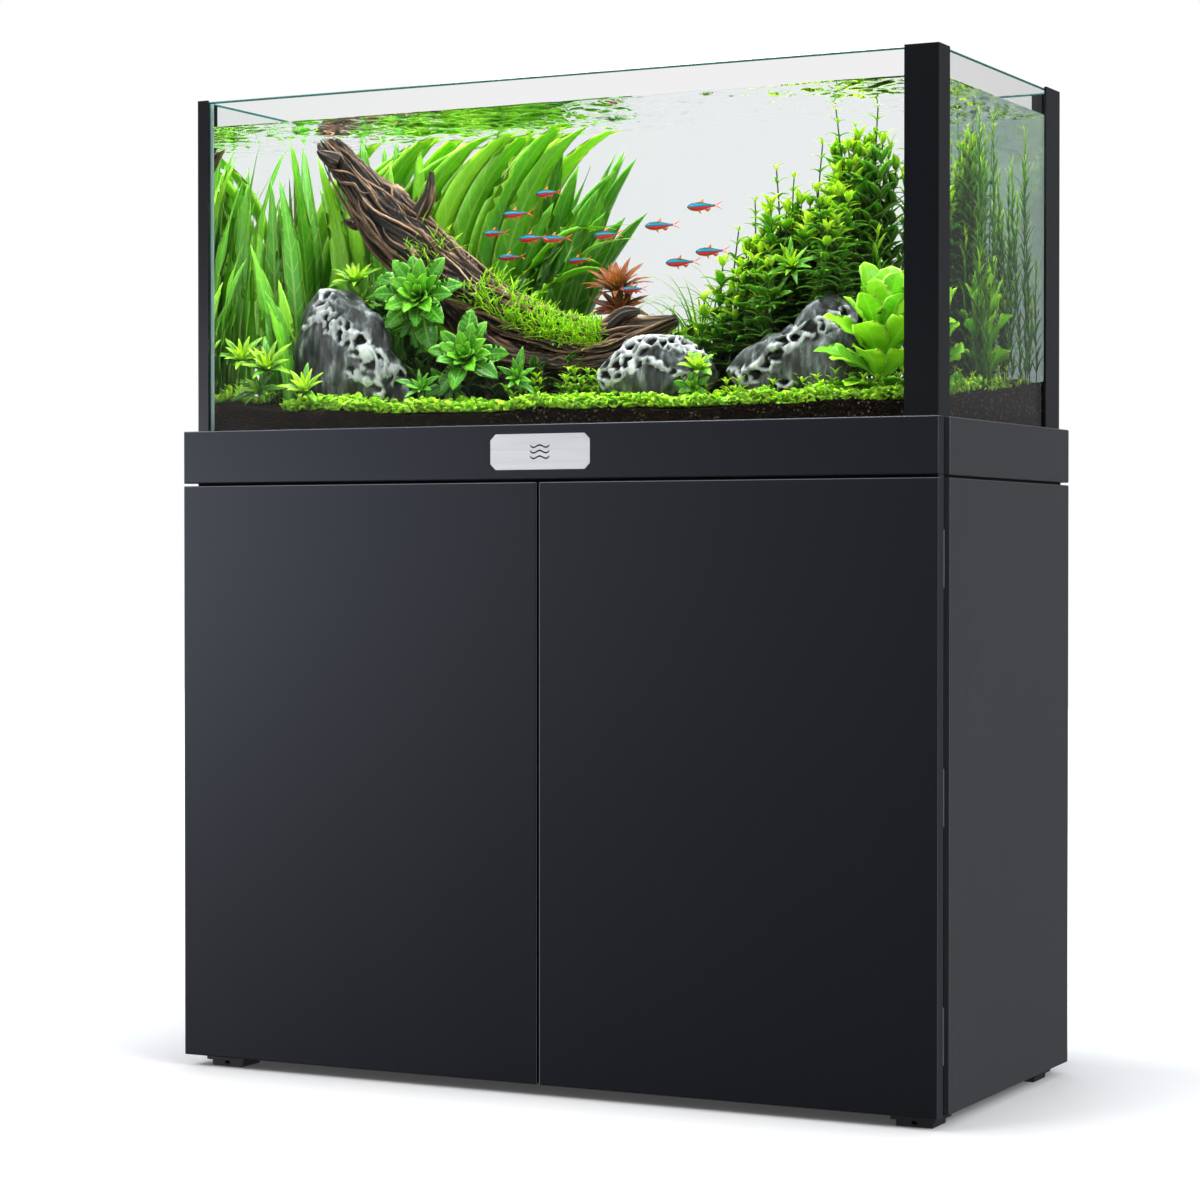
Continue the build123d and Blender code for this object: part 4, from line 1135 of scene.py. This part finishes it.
# The thicket behind everything, leaves painted almost black as shade, that closes the gaps near the soil.
thicket = patch(66, (-0.80, 0.34), (0.02, 0.50), 0.14, 0.27)
thicket += patch(30, (-0.60, 0.00), (-0.30, 0.10), 0.10, 0.20)
strips_piece("thicket_leaves", stems(thicket, (0.040, 0.0200), 0.017, 4, (0.0, 0.6), 0.02), painted_shade_leaf)


# Lawn and moss -----------------------------------------------------------------
# A carpet of tiny leaves rooted across the front, and feathery moss tied along the wood.
# Both are made of small closed blades, like the plants.

def lawn():
    """Thousands of small round leaves at small heights over the soil, thicker towards the front pane."""
    front = 3300
    x = np.concatenate((spread(front, -0.66, 0.97), spread(500, 0.74, 0.985), spread(300, -0.80, -0.60)))
    y = np.concatenate((-0.985 + 0.40 * spread(front, 0, 1) ** 1.4, spread(500, -0.98, 0.3),
                        spread(300, -0.95, -0.75)))
    spots = np.array([tank(a, b) for a, b in zip(x, y)])
    clump = 0.5 + 0.5 * np.sin(spots[:, 0] * 61) * np.sin(spots[:, 0] * 23 + spots[:, 1] * 40)
    spots[:, 2] = soil_level(spots[:, 0], spots[:, 1]) + spread(len(x), 0.0, 1) * (0.007 + 0.010 * clump)
    count = len(x)
    return leaves(
        spots, spread(count, 0, whole_turn), (spread(count, 0.3, 1.2), spread(count, 1.0, 1.8)),
        spread(count, 0.007, 0.0115), spread(count, 0.0065, 0.0095), outline(0.58, 0.5), 6, 4, 0.25,
        0.0, spread(count, -0.5, 0.5), 0.0, 1.0, spread(count, 0.1, 1.0))


strips_piece("carpet_plants_leaves", [lawn()], lawn_leaf, ["carpet_plants"])


def moss(course, start, stop, count, tall):
    """Fine fronds that stand off the upper side of a limb."""
    line, width = smooth_course(course, 200)
    _, side, up = frames_along(line)
    at = garden.integers(start, stop, count)
    turn = garden.normal(math.pi / 2, 0.8, count)
    away = side[at] * np.cos(turn)[:, None] + up[at] * np.sin(turn)[:, None]
    away *= np.sign(away[:, 2:] + 0.35)
    base = line[at] + away * (width[at] * 0.95)[:, None]
    heading = np.arctan2(away[:, 1], away[:, 0]) + garden.normal(0, 0.9, count)
    first = spread(count, 0.1, 1.3)
    return leaves(
        base, heading, (first, first + spread(count, 0.2, 1.0)), spread(count, 0.008, 0.026) * tall,
        spread(count, 0.0016, 0.0034), lance, 5, 4, 0.1, spread(count, -1, 1), 0.0, 0.0, 1.0,
        spread(count, 0.2, 1.0), 0.0005)


mossy = ((122, 156, 1300, 0.8), (108, 126, 200, 1.4), (84, 96, 90, 1.2))
strips_piece("wood_moss_fronds", [moss(wood_course, *row) for row in mossy], lawn_leaf)


# Fish --------------------------------------------------------------------------
# A shoal of thirteen small tetras: blue-green along the back, red below, clear-red fins. Each is one closed
# body with its tail and fins as closed strips set on it, and swims nose to the left.

def tetra(x, y, z, length, yaw):
    """A fish as closed strips: the body first, then its tail and its fins."""
    rings, points, trunk = 26, 16, 0.82
    s = np.linspace(0, 1, rings)
    deep = np.interp(s, (0, 0.05, 0.16, 0.34, 0.52, 0.72, 0.88, 1),
                     (0.006, 0.055, 0.098, 0.122, 0.112, 0.070, 0.038, 0.030))
    thick = np.interp(s, (0, 0.06, 0.2, 0.4, 0.7, 0.9, 1),
                      (0.006, 0.038, 0.058, 0.056, 0.034, 0.016, 0.010))
    belly = np.interp(s, (0, 0.3, 1), (-0.005, -0.012, 0.004))
    turn = np.linspace(0, 2 * math.pi, points, endpoint=False)
    body = np.stack((
        np.broadcast_to((s * trunk)[:, None], (rings, points)), thick[:, None] * np.sin(turn),
        deep[:, None] * np.cos(turn) + belly[:, None]), -1)
    tint = np.zeros((rings, points, 4))
    tint[..., 0] = s[:, None]
    tint[..., 1] = np.cos(turn) * 0.5 + 0.5
    parts = [(body[None], tint[None])]
    fins = (((0.80, 0.010), (1.03, 0.115), (0.90, 0.02), 0.16),
            ((0.80, -0.010), (1.02, -0.105), (0.90, -0.02), 0.16),
            ((0.33, 0.10), (0.45, 0.205), (0.47, 0.10), 0.55),
            ((0.50, -0.09), (0.60, -0.155), (0.70, -0.06), 0.12),
            ((0.30, -0.11), (0.39, -0.20), (0.38, -0.10), 0.55))
    for root, tip, rear, hue in fins:
        root, tip, rear = (np.array((p[0], 0, p[1])) for p in (root, tip, rear))
        share = np.linspace(0, 1, 6)[:, None]
        front_edge = root + (tip - root) * share
        rear_edge = rear + (tip + np.array((0.02, 0, 0)) - rear) * share
        blade = np.array((0, 0.004, 0)) * (1 - 0.7 * share)
        core = (front_edge + rear_edge) / 2
        ring = np.stack((front_edge, core + blade, rear_edge, core - blade), 1)
        fin_tint = np.zeros((6, 4, 4))
        fin_tint[..., 2] = 1.0
        fin_tint[..., 3] = hue
        parts.append((ring[None], fin_tint[None]))
    cos, sin = math.cos(yaw), math.sin(yaw)
    spin = np.array(((cos, -sin, 0), (sin, cos, 0), (0, 0, 1)))
    nose = tank(x, y, z) - np.array((length * 0.5 * cos, length * 0.5 * sin, 0))
    placed = []
    for spots, tint in parts:
        bent = spots.copy()
        bent[..., 1] += 0.02 * np.sin(bent[..., 0] * 4 + x * 40)
        placed.append((bent * length @ spin.T + nose, tint))
    return placed


def fish_finish():
    """Iridescent blue stripe over a red belly, olive back, clear red fins."""
    skin = Finish("tetra_skin")
    along, high, finned, hue = skin.tint()
    scales = skin.noise(1400.0, 2.0)
    flank = skin.ramp(
        high + scales * 0.06 - 0.03, (0.0, (0.40, 0.40, 0.38)), (0.08, (0.50, 0.018, 0.006)),
        (0.44, (0.62, 0.020, 0.006)), (0.50, (0.003, 0.06, 0.13)), (0.68, (0.006, 0.27, 0.43)),
        (0.84, (0.006, 0.09, 0.11)), (0.97, (0.012, 0.016, 0.008)))
    head = skin.mix(skin.step(along, 0.06, 0.16), (0.02, 0.10, 0.14), flank)
    fin = skin.mix(hue, (0.85, 0.045, 0.012), (0.75, 0.32, 0.10))
    return skin.done(skin.shader(
        Base_Color=skin.mix(finned, head, fin), Roughness=0.3, Specular_IOR_Level=0.3,
        Normal=skin.bump(scales, 0.0001, 0.3)))


shoal = ((0.285, 0.00, 0.686, 45), (0.165, 0.02, 0.631, 44), (0.017, 0.00, 0.609, 43),
         (0.303, 0.03, 0.538, 44),
         (0.225, 0.00, 0.505, 43), (-0.170, 0.10, 0.765, 40), (-0.260, 0.10, 0.700, 42),
         (-0.150, 0.12, 0.610, 40),
         (-0.215, 0.10, 0.615, 44), (-0.330, 0.14, 0.640, 36), (-0.300, 0.24, 0.560, 36),
         (-0.110, 0.30, 0.540, 36), (0.060, 0.20, 0.430, 36))
swimmers = []
for number, (x, y, z, length) in enumerate(shoal):
    swimmers += tetra(x, y, z, length / 1000, 0.25 * math.sin(number * 2.1))
strips_piece("tetra_shoal", swimmers, fish_finish(), ["fish"])
